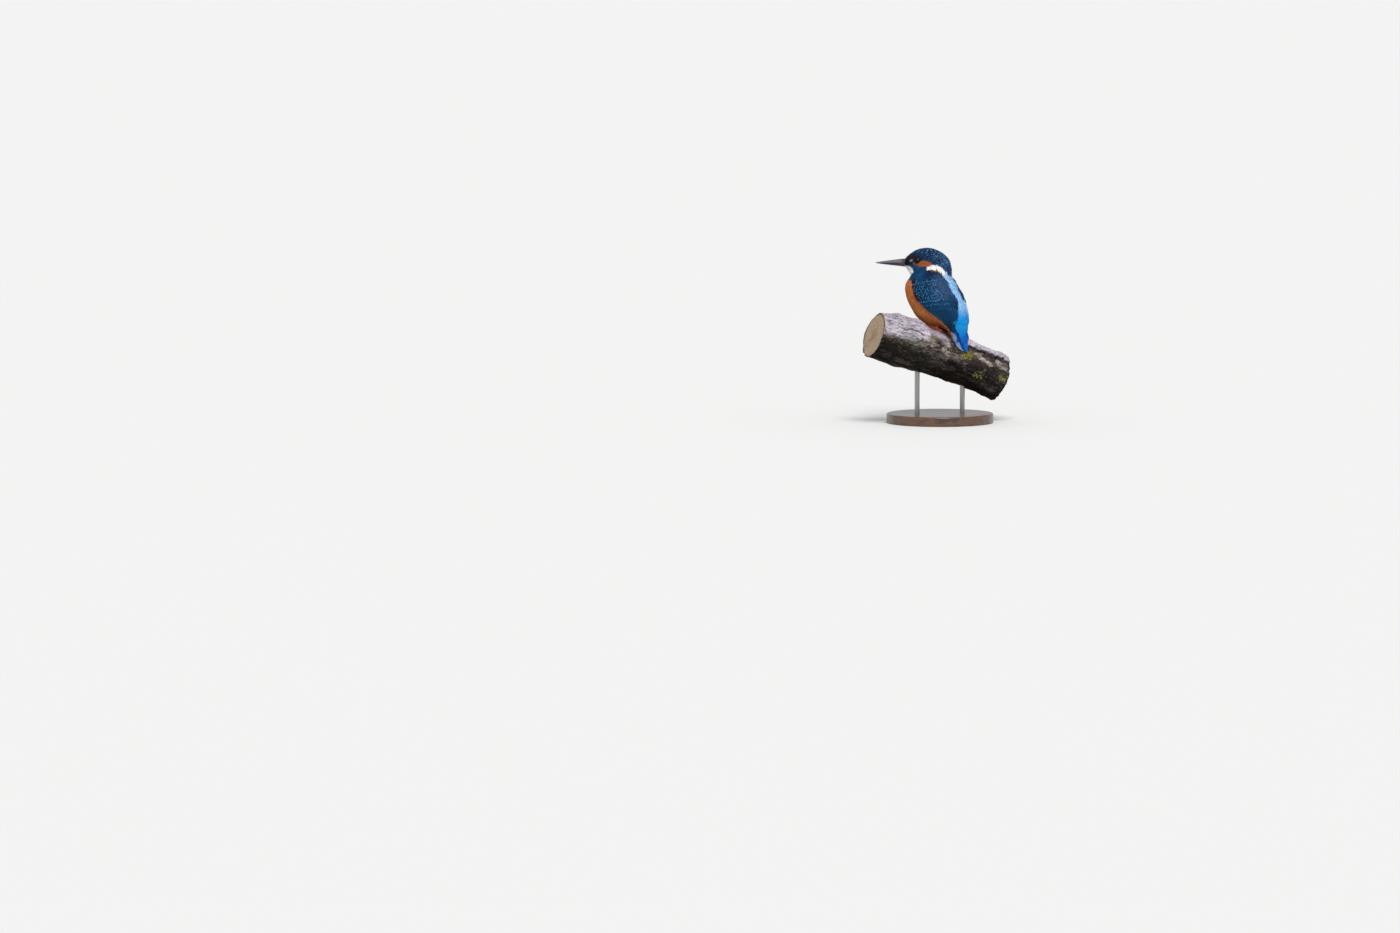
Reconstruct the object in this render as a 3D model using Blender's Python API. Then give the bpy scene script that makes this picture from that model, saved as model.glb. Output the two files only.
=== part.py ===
"""Common kingfisher, life size, on a cut length of branch over a plain display stand.

The bird faces -X, its left side is towards -Y and +Z is up. The floor under the stand is Z = 0.
Sizes below are in millimetres; MM turns them into metres.
"""

import math

import bmesh
import bpy
import numpy as np
from mathutils import Matrix, Vector
from mathutils.bvhtree import BVHTree

MM = 0.001
GAP = 0.3  # left between pieces that touch

# Where things stand. The bird's own frame has X = 0 under its breast and Z = 0 at its tail's tip.
BIRD_OFFSET = (-6.0, 0.0, 76.0)
BASE_RADIUS = 56.0
BASE_HEIGHT = 10.0
BASE_CHAMFER = 1.6
ROD_RADIUS = 2.6
ROD_STATIONS = (-27.0, 27.0)  # along the branch, from the feet
ROD_SINK = 5.0  # how deep a rod goes into its holes

# The body is a run of rings from the bill to the tail. Each ring joins a point of the back line to
# one of the belly line. Columns: back x, back z, belly x, belly z, half width, level of the widest
# place from back to belly.
BODY_RINGS = (
    (-32.8, 95.4, -33.1, 87.6, 4.3, 0.50),  # feather edge at the bill
    (-28.8, 99.3, -30.7, 85.2, 6.9, 0.52),  # lores
    (-21.8, 104.2, -28.7, 82.2, 9.4, 0.50),  # brow
    (-13.7, 106.8, -27.3, 80.0, 11.6, 0.52),  # eye
    (-3.7, 106.5, -26.7, 78.3, 13.6, 0.55),  # crown
    (6.8, 102.1, -26.9, 76.7, 15.0, 0.56),  # ear coverts
    (14.2, 95.0, -28.0, 75.0, 16.2, 0.55),  # nape
    (17.1, 86.0, -30.2, 72.2, 17.8, 0.53),  # hind neck
    (17.8, 77.0, -32.5, 67.6, 19.8, 0.52),  # shoulders
    (21.8, 68.6, -33.0, 60.8, 21.2, 0.51),  # mantle
    (28.5, 58.2, -30.4, 51.6, 22.2, 0.50),  # breast
    (33.7, 46.4, -24.6, 42.0, 21.8, 0.49),  # flanks
    (36.1, 34.6, -16.2, 33.6, 18.9, 0.47),  # belly
    (36.5, 26.0, -5.4, 28.6, 14.9, 0.45),  # thighs
    (35.7, 19.0, 7.0, 26.2, 11.6, 0.43),  # vent
)
HEAD_END = 6.3  # ring numbers where the body is parted
NECK_END = 8.2
TRUNK_END = 14.0
RING_SEGMENTS = 32

HEAD_TURN = 20.0  # degrees to the bird's left
HEAD_AXIS_X = -5.0
NECK_TWIST = (5.2, 10.0)  # ring numbers over which the neck twists
TAIL_TURN = 22.0  # degrees that the tail's back turns to the bird's left
TAIL_AXIS_X = 30.0
RUMP_TWIST = (11.2, 14.0)

# Tail, from its coverts to its tip
TAIL_BACK = ((35.6, 18.6), (34.9, 14.0), (35.3, 8.0), (36.7, 3.2), (38.3, -0.2))
TAIL_HALF_WIDTH = (10.9, 10.6, 9.4, 7.0, 3.2)
TAIL_ARCH = (3.6, 3.4, 3.0, 2.0, 0.6)  # how far its sides droop
TAIL_THICKNESS = (3.4, 2.8, 2.1, 1.5, 1.1)
TAIL_EDGE = 0.8
TAIL_LEAN = (13.5, 19.0, 22.0, 23.0, 24.0)  # degrees from upright
COVERT_REACH = (22.5, 15.2, 7.6, 3.2, 0.8)  # depth of the undertail coverts below the fan
COVERT_WIDTH = (0.98, 0.84, 0.72, 0.6, 0.5)  # as a share of the fan's
COVERT_END = 0.72  # share of the tail that they reach

# Wings, folded on the trunk: from the shoulder to the tips, as ring numbers and angles from the back
WING_START, WING_END = 7.75, 12.9
WING_UPPER = (24.0, 22.0, 21.0, 22.0, 26.0, 44.0)
WING_LOWER = (104.0, 110.0, 110.0, 98.0, 80.0, 73.0)
WING_THICKNESS = (1.8, 2.8, 2.6, 1.6)
WING_EDGE = 0.7
WING_GAP = 0.5  # between its hollow side and the body
PRIMARY_START, PRIMARY_END = 12.98, 13.9
PRIMARY_UPPER = (45.0, 55.0)
PRIMARY_LOWER = (73.0, 64.0)
PRIMARY_THICKNESS = 1.3

# Bill
BILL_LENGTH = 30.8
BILL_ROOT_X = -33.2
GAPE_LEVEL = 90.5  # height of the line between the mandibles at the feather edge
UPPER_DEPTH, LOWER_DEPTH = 4.7, 3.2
BILL_HALF_WIDTH = 4.0
BILL_TIP_LEVEL = 90.6

# Eyes
EYE_RADIUS = 3.3
EYE_CENTRE = (-17.2, 8.5, 94.6)  # with the head straight; the second number is to either side

# Branch: its axis passes under the feet
FEET_X = 5.8
BRANCH_HEADING = 51.5  # degrees from +X towards +Y
BRANCH_SLOPE = 18.7  # degrees down towards that end
BRANCH_RADIUS = 24.2
BRANCH_FROM, BRANCH_TO = -78.0, 72.0
BRANCH_BEND = 2.6  # rise of its middle over its ends
BRANCH_AXIS_Z = -4.6
KNOT_AT, KNOT_ANGLE = -64.0, 4.0  # a healed knot on its upper side
KNOT_HEIGHT, KNOT_LENGTH, KNOT_SPREAD = 2.4, 10.0, 0.55
SHOULDER_AT, SHOULDER_HEIGHT = -44.0, 4.4  # a raised stretch on top, beside the knot
SHOULDER_LENGTH, SHOULDER_SPREAD = 21.0, 0.75

# Feet
FOOT_SPACING = 7.0  # from the middle of the bird
TARSUS_RADIUS = 1.5
TOE_RADIUS = 1.2
TOE_LENGTHS = {"inner": 8.5, "middle": 11.5, "outer": 10.5, "hind": 6.5}
TOE_ANGLES = {"inner": 26.0, "middle": 4.0, "outer": -13.0, "hind": 184.0}
TOE_ROOT = 0.45  # how far out of the ankle's middle each toe starts
CLAW_LENGTH = 3.4

FINISHES = {  # colour, roughness, metallic
    "blue plumage": ((0.012, 0.085, 0.19), 0.55, 0.0),
    "azure plumage": ((0.03, 0.36, 0.72), 0.5, 0.0),
    "chestnut plumage": ((0.52, 0.17, 0.045), 0.7, 0.0),
    "wing plumage": ((0.01, 0.1, 0.17), 0.5, 0.0),
    "horn": ((0.02, 0.02, 0.024), 0.3, 0.0),
    "eye": ((0.012, 0.008, 0.006), 0.04, 0.0),
    "foot": ((0.62, 0.11, 0.035), 0.5, 0.0),
    "bark": ((0.22, 0.18, 0.16), 0.9, 0.0),
    "stand wood": ((0.055, 0.032, 0.02), 0.35, 0.0),
    "stand steel": ((0.3, 0.29, 0.28), 0.3, 1.0),
}


def clear_scene():
    for thing in list(bpy.data.objects):
        bpy.data.objects.remove(thing, do_unlink=True)


def smooth(values, at):
    """A smooth curve through evenly spaced values, read at a place counted in spacings."""
    values = np.asarray(values, float)
    last = len(values) - 1
    place = min(max(at, 0.0), float(last))
    low = min(int(place), last - 1)
    part = place - low
    before, after = max(low - 1, 0), min(low + 2, last)
    start, end = values[low], values[low + 1]
    slope_in = (end - values[before]) / (low + 1 - before)
    slope_out = (values[after] - start) / (after - low)
    return (
        (2 * part**3 - 3 * part**2 + 1) * start
        + (part**3 - 2 * part**2 + part) * slope_in
        + (3 * part**2 - 2 * part**3) * end
        + (part**3 - part**2) * slope_out
    )


def along(values, share):
    """The same curve, read at a share from 0 to 1 of its length."""
    return smooth(values, share * (len(values) - 1))


def ease(share):
    share = min(max(share, 0.0), 1.0)
    return share * share * (3 - 2 * share)


def turned(point, degrees, axis_x):
    """A point turned about an upright axis in the bird's middle plane."""
    angle = math.radians(degrees)
    x, y, z = point[0] - axis_x, point[1], point[2]
    return np.array(
        [
            x * math.cos(angle) - y * math.sin(angle) + axis_x,
            x * math.sin(angle) + y * math.cos(angle),
            z,
        ]
    )


def head_turned(point, share=1.0):
    return turned(point, HEAD_TURN * share, HEAD_AXIS_X)


def tail_turned(point, share=1.0):
    return turned(point, -TAIL_TURN * share, TAIL_AXIS_X)


def twist(ring, span):
    """How much of a twist lies before a ring, from 0 to 1."""
    return ease((ring - span[0]) / (span[1] - span[0]))


def body_point(ring, angle, side=-1):
    """A point of the body. Angle runs from 0 on the back to 180 on the belly; side -1 is left."""
    back_x, back_z, belly_x, belly_z, half_width, level = smooth(BODY_RINGS, ring)
    share = level * (1 - math.cos(math.radians(angle)))
    if angle > 90:
        share = level - (1 - level) * math.cos(math.radians(angle))
    across = side * half_width * math.sin(math.radians(angle))
    flat = (
        back_x + share * (belly_x - back_x),
        across,
        back_z + share * (belly_z - back_z),
    )
    return tail_turned(head_turned(flat, 1 - twist(ring, NECK_TWIST)), twist(ring, RUMP_TWIST))


def body_normal(ring, angle, side=-1):
    step_ring, step_angle = 0.05, 2.0
    along_body = body_point(ring + step_ring, angle, side) - body_point(
        ring - step_ring, angle, side
    )
    around = body_point(ring, angle + step_angle, side) - body_point(
        ring, angle - step_angle, side
    )
    normal = np.cross(along_body, around) * -side
    return -normal / np.linalg.norm(normal)


def material(name):
    if name in bpy.data.materials:
        return bpy.data.materials[name]
    colour, roughness, metallic = FINISHES[name]
    made = bpy.data.materials.new(name)
    made.use_nodes = True
    shader = made.node_tree.nodes["Principled BSDF"]
    shader.inputs["Base Color"].default_value = (*colour, 1)
    shader.inputs["Roughness"].default_value = roughness
    shader.inputs["Metallic"].default_value = metallic
    return made


def add_object(name, mesh, finish, parent=None):
    """A named object from a mesh in metres, smooth except over sharp edges."""
    made = bpy.data.objects.new(name, mesh)
    bpy.context.scene.collection.objects.link(made)
    mesh.materials.append(material(finish))
    mesh.shade_smooth()
    mesh.set_sharp_from_angle(angle=math.radians(40))
    made.parent = parent
    return made


def loft_mesh(name, rings):
    """A closed mesh through rings of equally many points, in millimetres, with fan caps."""
    shape = bmesh.new()
    rows = [[shape.verts.new(Vector(p) * MM) for p in ring] for ring in rings]
    count = len(rows[0])
    for first, second in zip(rows, rows[1:]):
        for i in range(count):
            j = (i + 1) % count
            shape.faces.new((first[i], first[j], second[j], second[i]))
    for row in (rows[0], rows[-1]):
        middle = sum((v.co for v in row), Vector()) / count
        hub = shape.verts.new(middle)
        for i in range(count):
            shape.faces.new((row[i], row[(i + 1) % count], hub))
    bmesh.ops.recalc_face_normals(shape, faces=shape.faces)
    bmesh.ops.triangulate(shape, faces=shape.faces)
    mesh = bpy.data.meshes.new(name)
    shape.to_mesh(mesh)
    shape.free()
    return mesh


def cut_out(target, cutter):
    """Takes the cutter's shape out of the target and applies the result."""
    cutter.hide_render = True
    cutter.display_type = "WIRE"
    tool = target.modifiers.new("cut", "BOOLEAN")
    tool.operation = "DIFFERENCE"
    tool.solver = "EXACT"
    tool.object = cutter


def body_ring(ring):
    """One closed ring of body points, from the back down the left side and up the right."""
    half = RING_SEGMENTS // 2
    left = [body_point(ring, 180 * i / half, -1) for i in range(half + 1)]
    right = [body_point(ring, 180 * i / half, 1) for i in range(half - 1, 0, -1)]
    return left + right


def body_section(name, first, last, count, finish, parent):
    """A length of the body between two ring numbers, half a gap short at each parted end."""
    rings = [body_ring(first + (last - first) * i / count) for i in range(count + 1)]
    for end, inward in ((0, 1), (-1, -1)):
        ring = np.array(rings[end])
        normal = np.cross(ring[0] - ring[RING_SEGMENTS // 2], ring[4] - ring[-4])
        normal /= np.linalg.norm(normal)
        towards = np.mean(rings[inward * 1 if end == 0 else -2], axis=0) - ring.mean(axis=0)
        normal *= math.copysign(GAP / 2, float(normal @ towards))
        rings[end] = list(ring + normal)
    return add_object(name, loft_mesh(name, rings), finish, parent)


def make_body(bird):
    head = body_section("head", 0.0, HEAD_END, 14, "blue plumage", bird)
    body_section("neck", HEAD_END, NECK_END, 4, "blue plumage", bird)
    trunk = body_section("trunk", NECK_END, TRUNK_END, 16, "chestnut plumage", bird)
    return head, trunk


def tail_sections():
    """Rings of the tail feathers' fan with its upper coverts, and of the undertail coverts."""
    steps, columns = 10, 8
    across = [2 * k / columns - 1 for k in range(columns + 1)]
    fan, coverts = [], []
    for i in range(steps + 1):
        share = i / steps
        lean = math.radians(along(TAIL_LEAN, share))
        forward = np.array([-math.cos(lean), 0, math.sin(lean)])
        back = np.array([along([p[0] for p in TAIL_BACK], share), 0,
                         along([p[1] for p in TAIL_BACK], share)])
        width, arch = along(TAIL_HALF_WIDTH, share), along(TAIL_ARCH, share)
        thick = along(TAIL_THICKNESS, share) - TAIL_EDGE
        top = [back + forward * arch * c * c + (0, c * width, 0) for c in across]
        bottom = [p + forward * (TAIL_EDGE + thick * (1 - c * c)) for p, c in zip(top, across)]
        fan.append([tail_turned(p) for p in top + bottom[::-1]])
        if share <= COVERT_END:
            narrow = along(COVERT_WIDTH, share)
            reach = along(COVERT_REACH, share)
            inner = [p * (1, narrow, 1) + forward * 2 * GAP for p in bottom]
            outer = [
                inner[columns // 2] + forward * (1 + reach * math.sqrt(1 - c * c * 0.96))
                + (0, c * width * narrow, 0)
                for c in across
            ]
            coverts.append([tail_turned(p) for p in inner + outer[::-1]])
    return fan, coverts


def make_tail(bird):
    fan, coverts = tail_sections()
    add_object("tail", loft_mesh("tail", fan), "azure plumage", bird)
    add_object("undertail_coverts", loft_mesh("coverts", coverts), "chestnut plumage", bird)


def shell_on_body(name, side, first, last, upper, lower, thickness, edge, counts, finish, parent):
    """A closed shell that lies on the body between two ring numbers and two angles."""
    steps, columns = counts
    rings = []
    for i in range(steps + 1):
        share = i / steps
        ring = first + (last - first) * share
        top_angle, low_angle = along(upper, share), along(lower, share)
        closing = math.sqrt(max(1 - (2 * share - 1) ** 8, 0.0))
        middle, spread = (top_angle + low_angle) / 2, (low_angle - top_angle) / 2
        spread *= 0.5 + 0.5 * closing
        inner, outer = [], []
        for k in range(columns + 1):
            c = 2 * k / columns - 1
            angle = middle + spread * c
            base = body_point(ring, angle, side)
            normal = body_normal(ring, angle, side)
            bulge = (along(thickness, share) - edge) * (1 - c * c) * (0.4 + 0.6 * closing)
            inner.append(base + normal * WING_GAP)
            outer.append(base + normal * (WING_GAP + edge + bulge))
        rings.append(inner + outer[::-1])
    return add_object(name, loft_mesh(name, rings), finish, parent)


def make_wings(bird):
    for word, side in (("left", -1), ("right", 1)):
        shell_on_body(f"wing_{word}", side, WING_START, WING_END, WING_UPPER, WING_LOWER,
                      WING_THICKNESS, WING_EDGE, (15, 8), "wing plumage", bird)
        shell_on_body(f"primaries_{word}", side, PRIMARY_START, PRIMARY_END, PRIMARY_UPPER,
                      PRIMARY_LOWER, (PRIMARY_THICKNESS,) * 2, WING_EDGE, (5, 3),
                      "wing plumage", bird)


def bill_half(name, upper, bird):
    """One mandible: rings that shrink to the tip, flat along the gape and keeled outside."""
    steps, around = 9, 9
    depth = UPPER_DEPTH if upper else LOWER_DEPTH
    sign = 1 if upper else -1
    length = BILL_LENGTH if upper else BILL_LENGTH - 1.0
    rings = []
    for i in range(steps + 1):
        share = (i / steps) ** 0.9
        taper = (1 - share) ** 0.86 * 0.94 + 0.06
        level = GAPE_LEVEL + (BILL_TIP_LEVEL - GAPE_LEVEL) * share + sign * GAP / 2
        x = BILL_ROOT_X - GAP - length * share
        ring = []
        for k in range(around + 1):
            angle = math.pi * k / around
            y = BILL_HALF_WIDTH * taper * math.cos(angle)
            z = depth * taper * math.sin(angle) ** 0.85
            ring.append(head_turned((x, y, level + sign * z)))
        rings.append(ring)
    add_object(name, loft_mesh(name, rings), "horn", bird)


def make_bill(bird):
    bill_half("bill_upper", True, bird)
    bill_half("bill_lower", False, bird)


def ball(name, centre, radius, segments, rings, finish, parent):
    shape = bmesh.new()
    bmesh.ops.create_uvsphere(
        shape, u_segments=segments, v_segments=rings, radius=radius * MM,
        matrix=Matrix.Translation(Vector(centre) * MM),
    )
    bmesh.ops.triangulate(shape, faces=shape.faces)
    mesh = bpy.data.meshes.new(name)
    shape.to_mesh(mesh)
    shape.free()
    return add_object(name, mesh, finish, parent)


def make_eyes(bird, head):
    for word, side in (("left", -1), ("right", 1)):
        x, reach, z = EYE_CENTRE
        centre = head_turned((x, side * reach, z))
        ball(f"eye_{word}", centre, EYE_RADIUS, 16, 10, "eye", bird)
        socket = ball(f"socket_{word}", centre, EYE_RADIUS + GAP, 16, 10, "eye", bird)
        cut_out(head, socket)


def branch_matrix():
    """The branch's frame: X along it, Z up and square to it, its origin on its axis at the feet."""
    heading = Matrix.Rotation(math.radians(BRANCH_HEADING), 4, "Z")
    slope = Matrix.Rotation(math.radians(BRANCH_SLOPE), 4, "Y")
    place = Vector((FEET_X, 0, BRANCH_AXIS_Z)) * MM
    return Matrix.Translation(place) @ heading @ slope


def branch_radius(at, angle):
    """Radius of the branch at a place along it and an angle from its top, with its bark's lumps."""
    lumps = (
        0.9 * math.sin(at * 0.052 + 0.6) * math.cos(angle - 0.5)
        + 0.55 * math.sin(2 * angle + at * 0.11)
        + 0.4 * math.sin(3 * angle - at * 0.19 + 1.2)
        + 0.3 * math.sin(5 * angle + at * 0.31)
    )
    turn = math.remainder(angle - math.radians(KNOT_ANGLE), 2 * math.pi)
    knot = KNOT_HEIGHT * math.exp(-((at - KNOT_AT) / KNOT_LENGTH) ** 2 - (turn / KNOT_SPREAD) ** 2)
    shoulder = SHOULDER_HEIGHT * math.exp(
        -((at - SHOULDER_AT) / SHOULDER_LENGTH) ** 4 - (turn / SHOULDER_SPREAD) ** 2
    )
    return BRANCH_RADIUS + lumps + knot + shoulder


def branch_centre_z(at):
    middle, half = (BRANCH_FROM + BRANCH_TO) / 2, (BRANCH_TO - BRANCH_FROM) / 2
    return -BRANCH_BEND * ((at - middle) / half) ** 2


def make_branch():
    steps, around = 23, 24
    rings = []
    for i in range(steps + 1):
        at = BRANCH_FROM + (BRANCH_TO - BRANCH_FROM) * i / steps
        ring = []
        for k in range(around):
            angle = 2 * math.pi * k / around
            radius = branch_radius(at, angle)
            ring.append((at, radius * math.sin(angle), branch_centre_z(at) + radius * math.cos(angle)))
        rings.append(ring)
    branch = add_object("perch_branch", loft_mesh("perch_branch", rings), "bark")
    branch.matrix_world = Matrix.Translation(Vector(BIRD_OFFSET) * MM) @ branch_matrix()
    return branch


def tube_rings(points, radii, around):
    """Rings square to a path, for toes and claws."""
    points = [np.array(p, float) for p in points]
    rings = []
    for i, point in enumerate(points):
        ahead = points[min(i + 1, len(points) - 1)] - points[max(i - 1, 0)]
        ahead = ahead / np.linalg.norm(ahead)
        side = np.cross(ahead, (0, 0, 1.0))
        side /= np.linalg.norm(side)
        up = np.cross(side, ahead)
        rings.append([
            point + radii[i] * (math.cos(a) * side + math.sin(a) * up)
            for a in (2 * math.pi * k / around for k in range(around))
        ])
    return rings


def toe_path(start, heading, length, surface):
    """Points of a toe that follows the branch, and then of its claw, which curves down to it."""
    count = 5
    step = np.array([math.cos(heading), math.sin(heading)])
    points = []
    for i in range(count + 1):
        x, y = start[:2] + step * length * i / count
        lift = TOE_RADIUS * (1.25 if i in (1, 3) else 1.0)
        points.append((x, y, surface(x, y) + GAP + lift))
    return points


def make_foot(word, side, bird, branch, trunk):
    """Tarsus, four toes and their claws, joined into one closed solid by Booleans."""
    to_bird = Matrix.Translation(Vector(BIRD_OFFSET) * MM).inverted() @ branch.matrix_world
    corners = [to_bird @ v.co / MM for v in branch.data.vertices]
    tree = BVHTree.FromPolygons(corners, [tuple(p.vertices) for p in branch.data.polygons])

    def surface(x, y):
        return tree.ray_cast(Vector((x, y, 60.0)), Vector((0, 0, -1)))[0].z

    middle = np.array([FEET_X, side * FOOT_SPACING])
    ankle = (middle[0], middle[1], surface(*middle) + GAP + TOE_RADIUS + 0.2)
    hip = (middle[0] + 2.0, middle[1] - side * 0.5, 31.0)
    shin = (ankle[0] + 0.7, ankle[1], ankle[2] + 3)
    leg_rings = tube_rings([ankle, shin, hip],
                           [TARSUS_RADIUS * 1.15, TARSUS_RADIUS, TARSUS_RADIUS * 1.1], 10)
    foot = add_object(f"foot_{word}", loft_mesh(f"foot_{word}", leg_rings), "foot", bird)
    for toe, length in TOE_LENGTHS.items():
        heading = math.radians(180 + side * TOE_ANGLES[toe])
        root = middle + TOE_ROOT * np.array([math.cos(heading), math.sin(heading)])
        path = toe_path(root, heading, length, surface)
        radii = [TOE_RADIUS * r for r in (1.1, 1.12, 0.98, 1.05, 0.9, 0.62)]
        ahead = np.array([math.cos(heading), math.sin(heading)])
        tip = np.array(path[-1])
        nail = tip[:2] + ahead * CLAW_LENGTH
        hook = tip[:2] + ahead * CLAW_LENGTH * 0.55
        path.append((*hook, max(tip[2] + 0.1, surface(*hook) + GAP + 1.0)))
        path.append((*nail, surface(*nail) + GAP + 0.35))
        piece = add_object(
            f"toe_{toe}_{word}", loft_mesh("toe", tube_rings(path, [*radii, 0.42, 0.12], 8)), "foot", bird
        )
        piece.hide_render = True
        piece.display_type = "WIRE"
        join = foot.modifiers.new(toe, "BOOLEAN")
        join.operation = "UNION"
        join.solver = "EXACT"
        join.object = piece
    socket = add_object(
        f"leg_socket_{word}",
        loft_mesh("socket", tube_rings([ankle, (ankle[0] + 0.7, ankle[1], ankle[2] + 3),
                                        np.array(hip) + (0.25, 0, GAP * 1.4)],
                                       [TARSUS_RADIUS * 1.1 + GAP * 1.3] * 3, 10)),
        "foot", bird,
    )
    cut_out(trunk, socket)


def make_stand(branch):
    """A flat round base and two rods that go up into the branch."""
    shape = bmesh.new()
    bmesh.ops.create_cone(shape, cap_ends=True, segments=64, radius1=BASE_RADIUS * MM,
                          radius2=BASE_RADIUS * MM, depth=BASE_HEIGHT * MM,
                          matrix=Matrix.Translation((0, 0, BASE_HEIGHT * MM / 2)))
    top_rim = [e for e in shape.edges if all(v.co.z > BASE_HEIGHT * MM * 0.9 for v in e.verts)]
    bmesh.ops.bevel(shape, geom=top_rim, offset=BASE_CHAMFER * MM, segments=2, affect="EDGES",
                    profile=0.5)
    mesh = bpy.data.meshes.new("stand_base")
    shape.to_mesh(mesh)
    shape.free()
    base = add_object("stand_base", mesh, "stand wood")
    for number, at in enumerate(ROD_STATIONS):
        centre = branch.matrix_world @ (Vector((at, 0, branch_centre_z(at))) * MM)
        foot_z = (BASE_HEIGHT - ROD_SINK) * MM
        head_z = centre.z - (BRANCH_RADIUS - ROD_SINK) * MM
        for name, grow, target in ((f"stand_rod_{number + 1}", 0.0, None),
                                   (f"base_hole_{number + 1}", GAP * MM, base),
                                   (f"branch_hole_{number + 1}", GAP * MM, branch)):
            shape = bmesh.new()
            low, high = foot_z - grow, head_z + grow
            bmesh.ops.create_cone(shape, cap_ends=True, segments=20, radius1=ROD_RADIUS * MM + grow,
                                  radius2=ROD_RADIUS * MM + grow, depth=high - low,
                                  matrix=Matrix.Translation((centre.x, centre.y, (low + high) / 2)))
            mesh = bpy.data.meshes.new(name)
            shape.to_mesh(mesh)
            shape.free()
            rod = add_object(name, mesh, "stand steel")
            if target:
                cut_out(target, rod)


def main():
    clear_scene()
    bird = bpy.data.objects.new("bird", None)
    bpy.context.scene.collection.objects.link(bird)
    bird.location = Vector(BIRD_OFFSET) * MM
    head, trunk = make_body(bird)
    make_tail(bird)
    make_wings(bird)
    make_bill(bird)
    make_eyes(bird, head)
    branch = make_branch()
    for word, side in (("left", -1), ("right", 1)):
        make_foot(word, side, bird, branch, trunk)
    make_stand(branch)


main()
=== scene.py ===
# Common kingfisher on its branch: the finish of every surface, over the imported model.
import math

import bmesh
import bpy
import numpy as np
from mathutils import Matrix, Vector, noise
from mathutils.bvhtree import BVHTree


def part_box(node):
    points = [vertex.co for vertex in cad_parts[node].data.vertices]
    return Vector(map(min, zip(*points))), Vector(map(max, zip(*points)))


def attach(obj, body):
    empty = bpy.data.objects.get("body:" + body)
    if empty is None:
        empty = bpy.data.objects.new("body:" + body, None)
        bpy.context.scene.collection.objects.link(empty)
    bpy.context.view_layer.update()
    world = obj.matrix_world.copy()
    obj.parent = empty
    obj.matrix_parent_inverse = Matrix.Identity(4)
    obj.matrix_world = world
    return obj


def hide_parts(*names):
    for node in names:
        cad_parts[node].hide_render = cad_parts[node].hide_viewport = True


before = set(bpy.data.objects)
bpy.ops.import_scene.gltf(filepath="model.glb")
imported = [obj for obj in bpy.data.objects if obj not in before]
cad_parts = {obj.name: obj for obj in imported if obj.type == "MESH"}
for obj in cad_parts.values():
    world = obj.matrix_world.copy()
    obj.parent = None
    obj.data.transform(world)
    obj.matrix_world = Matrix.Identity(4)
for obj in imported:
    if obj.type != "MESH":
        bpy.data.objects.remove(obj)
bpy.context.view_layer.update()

mm = 0.001
dice = np.random.default_rng(41)


def smoothStep(value, low, high):
    share = np.clip((value - low) / (high - low), 0.0, 1.0)
    return share * share * (3 - 2 * share)


def fadeOut(value, low, high):
    return 1 - smoothStep(value, low, high)


def band(value, low, high, soft):
    return smoothStep(value, low - soft, low + soft) * fadeOut(value, high - soft, high + soft)


def mixed(first, second, share):
    share = np.asarray(share, float)[..., None]
    return first * (1 - share) + np.asarray(second, float) * share


def reachAlong(first, second):
    # How far each vector reaches along another
    return np.sum(first * second, -1, keepdims=True)


def unit(vectors):
    return vectors / np.maximum(np.linalg.norm(vectors, axis=-1, keepdims=True), 1e-9)


storedAs = {"FLOAT": "value", "INT": "value", "FLOAT_VECTOR": "vector", "FLOAT_COLOR": "color"}


def store(mesh, name, values, kind="FLOAT"):
    # One value for each point; a colour gets a fourth number
    values = np.asarray(values, np.int32 if kind == "INT" else np.float32)
    if kind == "FLOAT_COLOR":
        values = np.concatenate([values, np.ones((len(values), 1), np.float32)], -1)
    layer = mesh.attributes.new(name, kind, "POINT")
    layer.data.foreach_set(storedAs[kind], values.ravel())


def storeUv(mesh, name, pointUv):
    corners = np.empty(len(mesh.loops), np.int32)
    mesh.loops.foreach_get("vertex_index", corners)
    layer = mesh.uv_layers.new(name=name)
    layer.data.foreach_set("uv", np.asarray(pointUv, np.float32)[corners].ravel())


def meshFrom(name, points, faces):
    mesh = bpy.data.meshes.new(name)
    mesh.from_pydata(np.asarray(points, float).tolist(), [], [tuple(map(int, f)) for f in faces])
    mesh.update()
    mesh.shade_smooth()
    return mesh


def creased(mesh, degrees):
    # Keeps the rims of thin pieces sharp, so that their faces shade as flat sheets
    mesh.set_sharp_from_angle(angle=math.radians(degrees))
    return mesh


def addPiece(name, mesh, material, slot, nodes=()):
    piece = bpy.data.objects.new(name, mesh)
    bpy.context.scene.collection.objects.link(piece)
    mesh.materials.clear()
    mesh.materials.append(material)
    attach(piece, "root")
    if nodes:
        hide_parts(*nodes)
    return piece


def closedTube(rings):
    # Points and faces of a tube with a fan over each end; rings is rows x around x 3
    rings = np.asarray(rings, float)
    rows, around = rings.shape[:2]
    points = np.concatenate([rings.reshape(-1, 3), rings[:1].mean(axis=1), rings[-1:].mean(axis=1)])
    faces = []
    for i in range(rows - 1):
        for k in range(around):
            a, b = i * around + k, i * around + (k + 1) % around
            faces.append((a, b, b + around, a + around))
    first, last = rows * around, rows * around + 1
    end = (rows - 1) * around
    for k in range(around):
        n = (k + 1) % around
        faces.append((first, n, k))
        faces.append((last, end + k, end + n))
    return points, faces


def withEnds(values):
    # Values of a tube's points, with its first and last again for the middles of its two ends
    values = values.reshape(-1, *values.shape[2:])
    return np.concatenate([values, values[:1], values[-1:]])


def outward(mesh):
    # Turns a closed mesh's faces to point out
    shape = bmesh.new()
    shape.from_mesh(mesh)
    bmesh.ops.recalc_face_normals(shape, faces=shape.faces)
    shape.to_mesh(mesh)
    shape.free()
    mesh.shade_smooth()
    return mesh


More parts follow.
